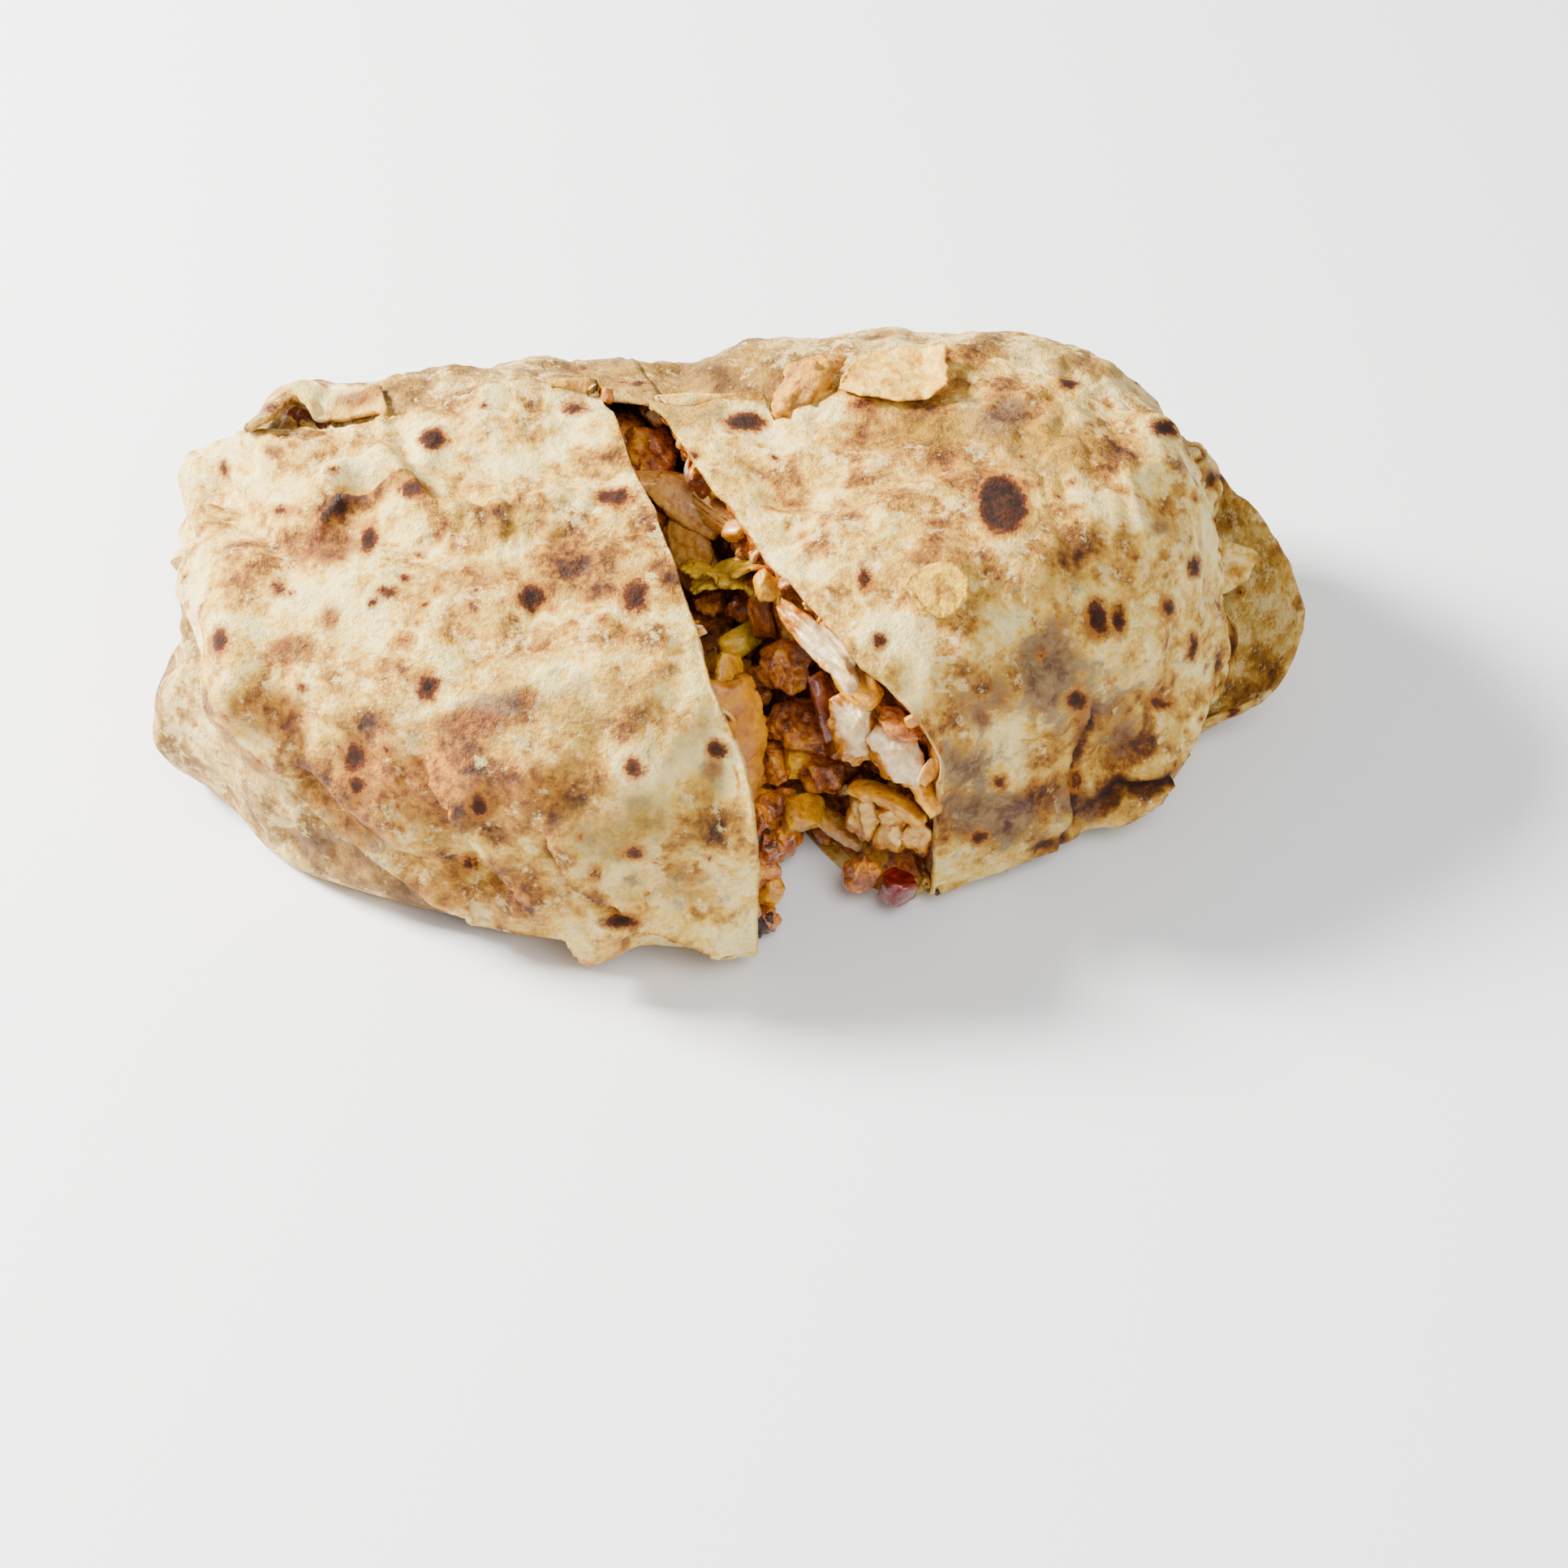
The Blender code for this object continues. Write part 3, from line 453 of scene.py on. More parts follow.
def relief(flat, normals):
    """How far folds, creases and blisters lift the skin at (n, 3) points, the painted shade along the foot of each
    fold, and their overhang.
    """
    calm = smooth_step(1.0, 9.0, flat[:, 2])
    place = facing(flat)
    front = smooth_step(-0.25, 0.15, normals @ TOWARDS)
    total = sum(height * noise(flat, size, seed) for height, size, seed in WAVES)
    stretched = flat * (1.0, 0.45, 0.8) + 1.5 * np.column_stack([noise(flat, 9.0, k) for k in (5, 6, 7)])
    wrinkled = smooth_step(-0.1, 0.7, noise(flat, 20.0, 8))
    total -= WRINKLE_DEPTH * wrinkled * (1 - np.abs(noise(stretched, WRINKLE_SIZE, 9)).clip(0, 0.35) / 0.35)
    total += GRAIN_HEIGHT * noise(flat, GRAIN_SIZE, 10, 2)
    for line, height, width in RIDGES:
        distance, _, _ = from_line(place + 0.8 * noise(flat, 7.0, 11)[:, None], line)
        total += RIDGE_SCALE * front * height * np.exp(-((distance / width) ** 2))
    grime, slide = np.zeros(len(flat)), np.zeros((len(flat), 2))
    for line, height, fade in FOLDS:
        distance, side, past = from_line(place + 0.5 * noise(flat, 6.0, 12)[:, None], line)
        signed = distance * side
        held = front * smooth_step(6, -6, past)
        total += held * height * smooth_step(-0.35, 0.35, signed) * smooth_step(fade, 1.0, signed)
        run = unit(np.subtract(line[-1], line[0]))
        over = FOLD_OVERHANG * max(height, 0) * held * smooth_step(-0.5, 0.3, signed) * smooth_step(4.0, 0.3, signed)
        slide += over[:, None] * np.array((run[1], -run[0]))
        total -= held * FOLD_GROOVE * height * np.exp(-(((signed + 0.7) / 0.7) ** 2))
        # painted shade: a dark band along the foot of each fold, where its contact shadow falls on the layer below
        grime = np.maximum(grime, held * min(1.0, abs(height)) * np.exp(-(((signed + 0.8) / 1.1) ** 2)))
    return total * calm, grime * calm, calm[:, None] * (slide[:, :1] * ACROSS + slide[:, 1:] * UPWARD)


def wrap_half(side):
    """A half as grids, rows from the cut to the folded end and columns round it: points, normals, layer, painted
    shade.

    The layer is 1 on the outer turn and 0 under it. The last value is the middle of each row.
    """
    columns = [section(side, share) for share in np.linspace(0, 1, COLUMNS)]
    flat = np.array([c[0] for c in columns])
    share, added, past_free, past_tuck = (np.array([c[k] for c in columns]) for k in (1, 2, 3, 4))
    tuck_height = np.array([c[5][2] for c in columns])[:, None]
    normal = unit(np.cross(np.gradient(flat, axis=1), np.gradient(flat, axis=0)))
    middle = np.array([outline(side, s)[1] for s in np.linspace(0, 1, COLUMNS)])
    inward = ((middle[:, None] - flat) * normal).sum(-1).mean() > 0
    normal = -normal if inward else normal
    for _ in range(6):  # the sharper corners swing their normals too fast for the raised layers
        normal = unit(np.roll(normal, 1, 1) + np.roll(normal, -1, 1) + 2 * normal)
    curl = 0.4 * smooth_step(0.0, 0.9, noise(flat, 14.0, 13))
    lift = SHEET_STEP + curl * smooth_step(5, 0, past_free)
    lift = lift + TUCK_LIFT[side] * smooth_step(2, 8, tuck_height) * smooth_step(TUCK_FADE, 2, past_tuck)
    lift = lift - 0.5 * smooth_step(8, 0, past_tuck) * smooth_step(1.5, 4, past_tuck)
    bumps, grime, slide = relief(flat.reshape(-1, 3), normal.reshape(-1, 3))
    height = share * lift + added + bumps.reshape(share.shape)
    points = flat + normal * height[..., None] + slide.reshape(flat.shape)
    grime = grime.reshape(share.shape)
    pushed = np.where((share == 0)[..., None] & (past_tuck < 0)[..., None], stick_out(flat, TUCKED_CORNER), 0)
    for corner in TOP_CORNERS:
        pushed = pushed + np.where((past_tuck >= 0)[..., None], stick_out(flat, corner), 0)
    points = points + pushed
    keep_above(np.minimum(flat[..., 2], UNDERSIDE), points)
    layer = np.where(share > 0, 1.0, 0.0)
    # painted shadow on the lower layer, just beyond the free and tucked edges of the sheet over it
    for past, strength in ((past_free, 0.25), (past_tuck, 0.8)):
        grime = np.maximum(grime, strength * (share == 0) * np.exp(-((past / 1.2) ** 2)))
    return points, normal, layer, grime, middle


def cap_rows(last, middle, outward, reach):
    """The rounded, folded end: rows that shrink towards its middle, and the tip."""
    rows = []
    for i in range(1, CAP_COLUMNS + 1):
        angle = math.pi / 2 * i / (CAP_COLUMNS + 0.5)
        row = middle + (last - middle) * math.cos(angle) ** 0.8 + outward * reach * math.sin(angle)
        creases = END_CREASE * np.sin(noise(row, 15.0, 21) * 5 + (row[:, 2] + 0.4 * row[:, 1]) / END_SPACING)
        shift = math.sin(angle) ** 0.6 * (END_BUMP * noise(row, 9.0, 22) + creases * math.sin(2 * angle) ** 0.5)
        row = row + outward * shift[:, None]
        keep_above(np.minimum(last[:, 2], 0.2), row)
        rows.append(row)
    return rows, middle + outward * reach


def rim_rows(points, normals, outward):
    """The rounded double edge at the cut, then the inside of the wall down to the bottom of its cavity."""
    rows = []
    edge, normal = points[0], normals[0]
    wobble = noise(edge, 7.0, 23, 2)[:, None]
    recess = (0.6 + 0.9 * noise(edge, 12.0, 24))[:, None].clip(0)
    for k, (depth, reach) in enumerate(RIM):
        inner = recess if k >= 3 else 0
        rows.append(edge - normal * depth + outward * (reach + 0.35 * wobble - inner))
    rows += [points[k] - normals[k] * (WALL_DEPTH + WALL_SLOPE * k) for k in WALL_ROWS]
    keep_above(np.minimum(edge[:, 2], 0.3), *rows)
    return rows


def build_half(side, material):
    """One half of the wrap, closed, as a piece. Returns its points and normals and the way out of the cut."""
    points, normal, layer, grime, middle = wrap_half(side)
    outward, end_out = (
        unit(np.array((y1 - y0, x0 - x1, 0.0))) * (1 if (side == "left") == at_cut else -1)
        for (x0, y0, x1, y1, _), at_cut in ((STATIONS[side][0], True), (STATIONS[side][-1], False))
    )
    caps, tip = cap_rows(points[-1], middle[-1], end_out, END_REACH[side])
    rims = rim_rows(points, normal, outward)[::-1]
    rows = np.concatenate((rims, points, caps))
    count, around = rows.shape[:2]
    flat = rows.reshape(-1, 3)
    faces = list(grid_quads(count, around, closed=True))
    bottom, top = len(flat), len(flat) + 1
    ring = np.arange(around)
    faces += [(i, j, bottom) for i, j in zip(np.roll(ring, -1), ring)]
    last = (count - 1) * around + ring
    faces += [(i, j, top) for i, j in zip(last, np.roll(last, -1))]
    flat = np.concatenate((flat, [rims[0].mean(0), tip]))
    cut = np.zeros(len(flat))
    bare, stained = (len(rims) - 2) * around, (len(rims) + 1) * around  # the wall, then the rim as far as the skin
    cut[:bare], cut[bare:stained] = 1.0, 0.55
    layer, grime = (
        np.concatenate((np.zeros(len(rims) * around), grid.ravel(), np.tile(grid[-1], CAP_COLUMNS), (0, 0)))
        for grid in (layer, grime)
    )
    fields = skin_fields(flat, FRECKLES, layer=layer, cut=cut, grime=grime)
    make_piece(f"wrap_{side}", flat, faces, material, ["tortilla"], fields)
    return points, normal, outward


def mark_depths(points, marks):
    """How deep each point lies inside the nearest of these marks, in millimetres, and below zero outside."""
    place = facing(points)
    front = points @ TOWARDS
    deepest = np.full(len(points), -9.0)
    for x, up, across, tall in marks:
        near = np.hypot(place[:, 0] - x, place[:, 1] - up)
        close = near < 3
        if not close.any():
            continue
        surface = front[close].max()
        away = np.sqrt(
            ((place[:, 0] - x) / across) ** 2 + ((place[:, 1] - up) / tall) ** 2 + ((front - surface) / 9) ** 4
        )
        deepest = np.maximum(deepest, (1 - away) * math.sqrt(across * tall))
    return deepest


def patch_strengths(points, patches):
    place = facing(points)
    total = np.zeros(len(points))
    for x, up, across, tall, strength in patches:
        away = ((place[:, 0] - x) / across) ** 2 + ((place[:, 1] - up) / tall) ** 2
        total = np.maximum(total, strength * np.exp(-0.7 * away))
    return total


def skin_fields(points, freckles, **others):
    """The values that the tortilla's material reads at each point."""
    char = mark_depths(points, CHAR)
    picked = RANDOM.integers(0, len(points), freckles)
    radius = RANDOM.uniform(*FRECKLE_RADIUS, freckles)
    for centre, size in zip(points[picked], radius):
        if centre @ TOWARDS > 5 and freckles == FRECKLES:  # the photo shows this side, so the mark stays tiny
            size *= SEEN_SHARE
        char = np.maximum(char, size - np.linalg.norm((points - centre) * (1, 1.2, 1), axis=1))
    toast = patch_strengths(points, TOAST) + 0.25 * noise(points, 30.0, 41)
    return {
        "char": char.clip(-9, 6),
        "scorch": mark_depths(points, SCORCH).clip(-9, 6),
        "toast": toast,
        "oil": patch_strengths(points, OIL),
        "grey": patch_strengths(points, GREY),
        **others,
    }


def make_sheet(name, points, faces, material, layer, freckles, lowest=LOWEST, **others):
    """A loose sheet of tortilla as a piece, kept off the floor."""
    keep_above(lowest, points)
    fields = skin_fields(points, freckles, layer=np.full(len(points), layer), **others)
    make_piece(name, points, faces, material, (), fields)


# ---------------------------------------------------------------- materials


def colour(*tone):
    """A tone as it looks on a screen, red, green and blue from 0 to 255, made linear."""
    return tuple(((c / 255 + 0.055) / 1.055) ** 2.4 if c > 10 else c / 255 / 12.92 for c in tone) + (1.0,)


class Shader:
    """A node material being put together."""

    def __init__(self, name):
        self.material = bpy.data.materials.new(name)
        self.material.use_nodes = True
        self.tree = self.material.node_tree
        self.surface = self.tree.nodes["Principled BSDF"]
        self.where = self.tree.nodes.new("ShaderNodeTexCoord").outputs["Object"]

    def add(self, kind, inputs=(), **settings):
        node = self.tree.nodes.new(kind)
        for key, value in settings.items():
            setattr(node, key, value)
        for key, value in dict(inputs).items():
            self.put(node.inputs[key], value)
        return node

    def put(self, socket, value):
        if isinstance(value, bpy.types.NodeSocket):
            self.tree.links.new(value, socket)
        else:
            socket.default_value = value

    def noise(self, size, detail, rough, distort=0.0):
        """Noise with features of this size in millimetres."""
        inputs = {"Vector": self.where, "Scale": 1 / (size * MM), "Detail": detail, "Roughness": rough}
        return self.add("ShaderNodeTexNoise", {**inputs, "Distortion": distort}).outputs["Fac"]

    def field(self, name):
        return self.add("ShaderNodeAttribute", attribute_name=name).outputs["Fac"]

    def sum(self, *terms):
        """The sum of (value, weight) pairs and plain numbers."""
        first, *rest = (self.times(*term) if isinstance(term, tuple) else term for term in terms)
        for value in rest:
            first = self.add("ShaderNodeMath", {0: first, 1: value}).outputs[0]
        return first

    def times(self, a, b):
        return self.add("ShaderNodeMath", {0: a, 1: b}, operation="MULTIPLY").outputs[0]

    def step(self, value, low, high, to_low=0.0, to_high=1.0):
        """A smooth step between two values."""
        inputs = {"Value": value, "From Min": low, "From Max": high, "To Min": to_low, "To Max": to_high}
        return self.add("ShaderNodeMapRange", inputs, interpolation_type="SMOOTHSTEP").outputs["Result"]

    def mix(self, share, a, b):
        """Colour a, turning into colour or tone b as the share goes from 0 to 1."""
        b = colour(*b) if isinstance(b, tuple) else b
        return self.add("ShaderNodeMix", {0: share, 6: a, 7: b}, data_type="RGBA").outputs[2]

    def ramp(self, value, *stops):
        """The colour at a value, from stops that are a value and its tone."""
        node = self.add("ShaderNodeValToRGB", {"Fac": value})
        elements = node.color_ramp.elements
        while len(elements) < len(stops):
            elements.new(0.5)
        for element, (place, *tone) in zip(elements, stops):
            element.position, element.color = place, colour(*tone)
        return node.outputs["Color"]

    def bump(self, height, distance):
        inputs = {"Height": height, "Distance": distance * MM}
        self.put(self.surface.inputs["Normal"], self.add("ShaderNodeBump", inputs).outputs[0])

    def finish(self, **settings):
        for key, value in settings.items():
            self.put(self.surface.inputs[key.replace("_", " ").title().replace("Ior", "IOR")], value)
        return self.material


def tortilla_material():
    s = Shader("tortilla_skin")
    broad, cloud = s.noise(12, 6, 0.58), s.noise(5.0, 7, 0.64)
    fine, grain = s.noise(1.9, 6, 0.7), s.noise(0.6, 4, 0.7)
    toast = s.sum(s.field("toast"), (cloud, 1.6), -0.8)
    depth = s.sum(s.field("char"), (cloud, 3.0), (fine, 3.4), (grain, 1.2), -3.8)
    halo = s.times(s.step(depth, -4.0, -1.6), s.step(depth, -0.2, -1.4))
    # pale floury blotches over tan dough; browner where it is toasted, paler round a mark, and darker where shade is
    # painted into creases and under sheet edges
    flour = s.sum((broad, 0.8), (cloud, 0.9), (fine, 0.3), -0.49)
    flour = s.sum(flour, (toast, -0.14), (halo, 0.05), (s.field("grime"), -0.22))
    base = s.ramp(
        flour,
        (0.22, 44, 16, 2),
        (0.31, 92, 46, 4),
        (0.38, 144, 90, 16),
        (0.44, 186, 132, 40),
        (0.50, 220, 170, 62),
        (0.56, 242, 202, 98),
        (0.62, 253, 230, 148),
    )
    under = s.ramp(
        flour,
        (0.32, 96, 60, 14),
        (0.44, 142, 100, 32),
        (0.54, 180, 136, 54),
        (0.64, 214, 174, 92),
    )
    base = s.mix(s.step(s.field("layer"), 0.9, 0.1), base, under)
    # orange-brown where the griddle browned it, then floury blotches with crisp, speckled edges
    browned = s.step(toast, 0.3, 0.95, 0.0, 0.85)
    base = s.mix(browned, base, s.ramp(fine, (0.4, 120, 58, 4), (0.6, 200, 130, 30)))
    # less flour dust where shade is painted, so the painted shade stays dark
    dusted = s.sum((s.noise(3.4, 8, 0.76), 0.75), (broad, 0.35), (toast, -0.06), (s.field("grime"), -0.2))
    base = s.mix(s.step(dusted, 0.55, 0.61, 0.0, 0.6), base, (252, 224, 150))
    # grey and purple where the wet filling shows through
    wet = s.step(s.sum(s.field("grey"), (cloud, 2.6), (fine, 0.8), -1.7), 0.3, 0.85)
    purple = s.ramp(s.sum((cloud, 0.5), (fine, 0.5)), (0.42, 48, 26, 38), (0.58, 124, 88, 66))
    base = s.mix(s.times(wet, 0.85), base, purple)
    damp = s.step(s.noise(6, 8, 0.75, distort=0.8), 0.55, 0.70, 0.0, 0.5)
    base = s.mix(damp, base, (150, 108, 62))
    oil = s.step(s.sum(s.field("oil"), (cloud, 1.4), -0.7), 0.15, 0.85)
    base = s.mix(s.times(oil, 0.8), base, s.ramp(fine, (0.38, 116, 80, 0), (0.6, 176, 128, 0)))
    # griddle marks
    scorch = s.step(s.sum(s.field("scorch"), (cloud, 4.0), (fine, 3.0), -3.5), -1.2, 0.9)
    base = s.mix(s.times(scorch, 0.8), base, s.ramp(fine, (0.42, 84, 34, 0), (0.6, 146, 78, 6)))
    base = s.mix(s.step(depth, -1.5, -0.3, 0.0, 0.8), base, (176, 106, 10))
    base = s.mix(s.step(depth, -0.5, 0.2), base, (94, 42, 0))
    base = s.mix(s.step(depth, 0.1, 0.9), base, s.ramp(fine, (0.38, 20, 6, 0), (0.62, 66, 27, 0)))
    # the cut edge is pale dough, stained by sauce
    edge = s.ramp(cloud, (0.42, 190, 124, 20), (0.53, 226, 176, 70), (0.62, 242, 210, 122))
    base = s.mix(s.step(s.field("cut"), 0.3, 0.9), base, edge)
    s.bump(s.sum((cloud, 2.2), (fine, 0.7), (grain, 0.3), (depth, 0.05)), 1.0)
    rough = s.sum((oil, -0.2), (s.step(depth, -0.5, 0.5), 0.25), 0.62)
    return s.finish(base_color=base, roughness=rough, specular_ior_level=0.3)


def food_material(name, tones, size=4.0, roughness=0.3, coat=0.35, glow=0.03, skin=None, relief_mm=0.35):
    """A moist food: tones from dark to light that follow noise, two skin tones where the field says, and a coat."""
    s = Shader(name)
    stops = [(0.35 + 0.28 * k / (len(tones) - 1), *tone) for k, tone in enumerate(tones)]
    broad = s.noise(size, 6, 0.65, 0.4)
    fine = s.noise(size / 4, 5, 0.65)
    base = s.ramp(s.sum((broad, 0.65), (fine, 0.35)), *stops)
    if skin:
        share = s.step(s.sum(s.field("skin"), (broad, 1.0), -0.5), 0.3, 0.7)
        base = s.mix(share, base, s.ramp(fine, (0.38, *skin[0]), (0.62, *skin[1])))
    shade = s.step(s.noise(size * 0.7, 5, 0.7), 0.6, 0.74, 0.0, 0.5)
    base = s.mix(shade, base, (84, 38, 0))
    s.bump(s.sum((fine, 0.7), (broad, 0.5)), relief_mm)
    wet = s.sum((fine, 0.5), roughness - 0.25)
    return s.finish(
        base_color=base,
        roughness=wet,
        coat_weight=coat,
        coat_roughness=0.08,
        subsurface_weight=glow,
        subsurface_scale=0.003,
        subsurface_radius=(1.0, 0.7, 0.35),
    )


# ---------------------------------------------------------------- filling


def sphere_points(level):
    ball = bmesh.new()
    bmesh.ops.create_icosphere(ball, subdivisions=level, radius=1.0)
    points = np.array([v.co for v in ball.verts])
    faces = [tuple(v.index for v in f.verts) for f in ball.faces]
    ball.free()
    return points, faces


SPHERES = {level: sphere_points(level) for level in (3, 4, 5)}


def lump(size, seed, level, square, dents, fibre, facets):
    """A torn or cut chunk as points round the origin, with its faces and the direction that each point faces."""
    ball, faces = SPHERES[level]
    local = np.random.default_rng(seed)
    body = np.sign(ball) * np.abs(ball) ** square
    for _ in range(facets):
        plane = unit(local.normal(size=3))
        over = (body @ plane - local.uniform(0.55, 0.85)).clip(0, None)
        body = body - 0.9 * over[:, None] * plane
    bulge = 1 + dents * noise(ball, 0.9, seed) + 0.45 * dents * noise(ball, 0.4, seed + 1)
    points = body * np.array(size) / 2 * bulge[:, None]
    points = points * np.array(size) / np.ptp(points, axis=0)
    grained = points * (1.0, 0.25, 1.0)
    cracks = 1 - np.abs(noise(points, 3.2, seed + 3)).clip(0, 0.3) / 0.3
    fine = fibre * (noise(grained, 1.5, seed + 2, 2) - 0.6 * cracks)
    return points + ball * fine[:, None], faces, ball


def strip(size, seed, bend, ragged, waves, ribs, steps):
    """A curved slice or leaf: length along Y, width along X, with the same values back as lump."""
    wide, long, thick = size
    v, u = np.meshgrid(np.linspace(-0.5, 0.5, steps[0]), np.linspace(-0.5, 0.5, steps[1]), indexing="ij")
    taper = 1 - 0.55 * np.abs(2 * v) ** 3
    x = u * wide * taper
    y = v * long
    flat = np.stack((x, y, 0 * x), -1)
    edge = noise(flat + seed * 7, 2.6, seed, 3)
    x = x + ragged * edge * np.abs(2 * u) ** 2 * np.sign(u)
    y = y + ragged * 1.3 * edge * np.abs(2 * v) ** 4 * np.sign(v)
    z = -bend * long * (2 * v) ** 2 / 2 + 0.12 * wide * (1 - (2 * u) ** 2)
    z = z + waves * noise(flat, 4.5, seed + 1) + ribs * np.sin(u * 34) * 0.5
    points, faces = closed_sheet(np.stack((x, y, z), -1), thick)
    side = np.stack((1.6 * u, 1.6 * v, np.ones_like(u)), -1).reshape(-1, 3)
    return points, faces, unit(np.concatenate((side, side * (1, 1, -1))))


def turned(points, turn, centre=(0, 0, 0)):
    matrix = np.array(Euler([math.radians(a) for a in turn]).to_matrix())
    return points @ matrix.T + centre


def make_food(name, kind, points, faces, skin, foods, nodes=()):
    make_piece(name, points, faces, foods[kind], nodes, {"skin": skin})


def sauced(points, ways, seed):
    """How thickly sauce and skin cover each point: least on the cut face that looks at the eater."""
    return 1.1 - 1.1 * (ways @ TOWARDS) + 0.5 * noise(points, 3.5, seed)


def centre_of(node):
    low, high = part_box(node)
    return np.array(low + high) / 2 / MM - ORIGIN


# Every bite: CAD node, what it is, kind of food, size, turn
BITES = (
    ("bite_top", "chicken_top", "browned", (10, 14, 9), (0, 0, 22)),
    ("bite_onion_upper", "onion_upper", "onion", (6, 14, 2.6), (22, -30, 46)),
    ("bite_onion_lower", "onion_lower", "onion", (7, 12, 3), (46, -25, 8)),
    ("bite_lettuce", "leaf", "leaf", (11, 16, 0.8), (-15, 35, 40)),
    ("bite_corn", "corn", "yellow", (4.5, 5, 4.5), (0, 20, 10)),
    ("bite_carrot", "carrot", "orange", (4.2, 9, 4), (70, -10, 10)),
    ("bite_cheese_cube", "cheese_cube", "pale_yellow", (8, 5.5, 5.5), (10, -15, 14)),
    ("bite_cheese", "cheese", "yellow", (8, 9, 11), (0, 20, 0)),
    ("bite_chicken_high", "chicken_high", "browned", (9.5, 9, 10), (20, 10, 30)),
    ("bite_chicken_middle", "chicken_middle", "browned", (14, 10, 9), (0, 10, -10)),
    ("bite_strip", "chicken_strip", "white", (5.5, 21, 6.5), (6, 0, 37)),
    ("bite_pepper_strip", "pepper_strip", "tomato", (3.5, 11, 2.4), (60, 0, 30)),
    ("bite_white_left", "white_left", "white", (8, 7.5, 13), (-20, -14, 20)),
    ("bite_white_right", "white_right", "white", (9, 7, 13), (-20, -26, 10)),
    ("bite_yellow_strip", "yellow_strip", "yellow_slice", (4.5, 13, 2.6), (10, 20, 66)),
    ("bite_pale_left", "pale_left", "pale", (5.5, 6.5, 8.5), (0, -15, 20)),
    ("bite_pale_right", "pale_right", "pale", (6, 5.5, 7.5), (0, 10, -20)),
    ("bite_brown_low", "chicken_low", "browned", (6.5, 6, 8.5), (20, 0, 20)),
    ("bite_tomato", "tomato", "tomato_lump", (6, 5.5, 6.5), (10, 0, 30)),
    ("bite_slice", "mango_slice", "slice", (12, 24, 4), (72, 10, 20)),
    ("bite_left_low", "chicken_left", "browned", (8, 7, 12), (20, 0, 20)),
    ("bite_burnt", "burnt_scrap", "burnt", (4, 3.4, 5.5), (0, 0, 20)),
    ("bite_back", "chicken_back", "roast", (14, 17, 10), (4, 0, 25)),
    ("bite_end", "pepper_end", "dark_red", (10, 6.5, 5), (0, 0, -20)),
)


SAUCE = ((140, 72, 0), (200, 130, 0))
# Every kind of food: slot, tones from dark to light, what differs from the usual food material
FOODS = {
    "browned": (
        "browned_chicken",
        ((54, 18, 0), (138, 64, 0), (200, 110, 0), (236, 162, 0)),
        dict(roughness=0.32, coat=0.6, relief_mm=0.8),
    ),
    "roast": (
        "browned_chicken",
        ((96, 46, 0), (196, 130, 0), (236, 178, 0)),
        dict(roughness=0.5, coat=0.05, relief_mm=0.8),
    ),
    "white": (
        "chicken",
        ((178, 132, 72), (206, 176, 120), (230, 210, 170)),
        dict(size=5.0, coat=0.3, glow=0.15, skin=SAUCE),
    ),
    "pale": ("chicken", ((170, 104, 14), (210, 158, 60), (232, 200, 124)), dict(coat=0.3, glow=0.15, skin=SAUCE)),
    "onion": (
        "onion",
        ((172, 128, 84), (212, 172, 126), (238, 206, 170)),
        dict(size=5.0, roughness=0.22, coat=0.5, glow=0.3, skin=((186, 122, 40), (226, 170, 80))),
    ),
    "leaf": ("lettuce", ((136, 100, 0), (196, 156, 0), (232, 196, 40)), dict(size=5.0, glow=0.2, relief_mm=0.2)),
    "yellow": ("corn", ((150, 86, 0), (208, 138, 0), (240, 184, 0)), dict(glow=0.05)),
    "pale_yellow": ("cheese", ((214, 140, 0), (242, 184, 24), (252, 214, 80)), dict(glow=0.2)),
    "yellow_slice": ("cheese", ((150, 82, 0), (204, 134, 0), (240, 184, 30)), dict(glow=0.2)),
    "orange": ("pepper", ((90, 36, 0), (146, 76, 0), (190, 118, 0)), dict(roughness=0.24, coat=0.25, glow=0.1)),
    "slice": (
        "pepper",
        ((130, 68, 0), (184, 112, 0), (220, 154, 0)),
        dict(size=7.0, roughness=0.4, coat=0.15, glow=0.1, relief_mm=0.3),
    ),
    "dark_red": ("pepper", ((44, 10, 0), (96, 30, 0), (132, 52, 0)), dict(roughness=0.45, coat=0.1)),
    "tomato": ("tomato", ((66, 18, 0), (118, 44, 0), (158, 80, 0)), dict(size=3.0, roughness=0.2, coat=0.5)),
    "tomato_lump": (
        "tomato",
        ((50, 2, 0), (104, 8, 0), (150, 30, 0)),
        dict(roughness=0.2, coat=0.5, relief_mm=0.3),
    ),
    "burnt": ("char", ((14, 6, 2), (38, 16, 4), (92, 44, 6)), dict(size=3.0, roughness=0.5, coat=0.1)),
    "core": (
        "filling",
        ((32, 10, 0), (108, 46, 0), (168, 86, 0), (218, 136, 0)),
        dict(coat=0.25, relief_mm=0.6, skin=((160, 92, 0), (212, 144, 4))),
    ),
}
# Thin kinds of food: bend, raggedness, waves, ribs, steps along and across. Loose scraps are SCRAPs
STRIPS = {
    "onion": (0.1, 0.3, 0.25, 0.06, (40, 22)),
    "leaf": (0.15, 1.6, 1.7, 0, (60, 40)),
    "tomato": (0.16, 0.4, 0.4, 0, (40, 22)),
    "yellow_slice": (0.16, 0.4, 0.4, 0, (40, 22)),
    "slice": (0.16, 0.7, 0.5, 0, (60, 34)),
}
SCRAP = (0.2, 0.3, 0.3, 0, (16, 9))
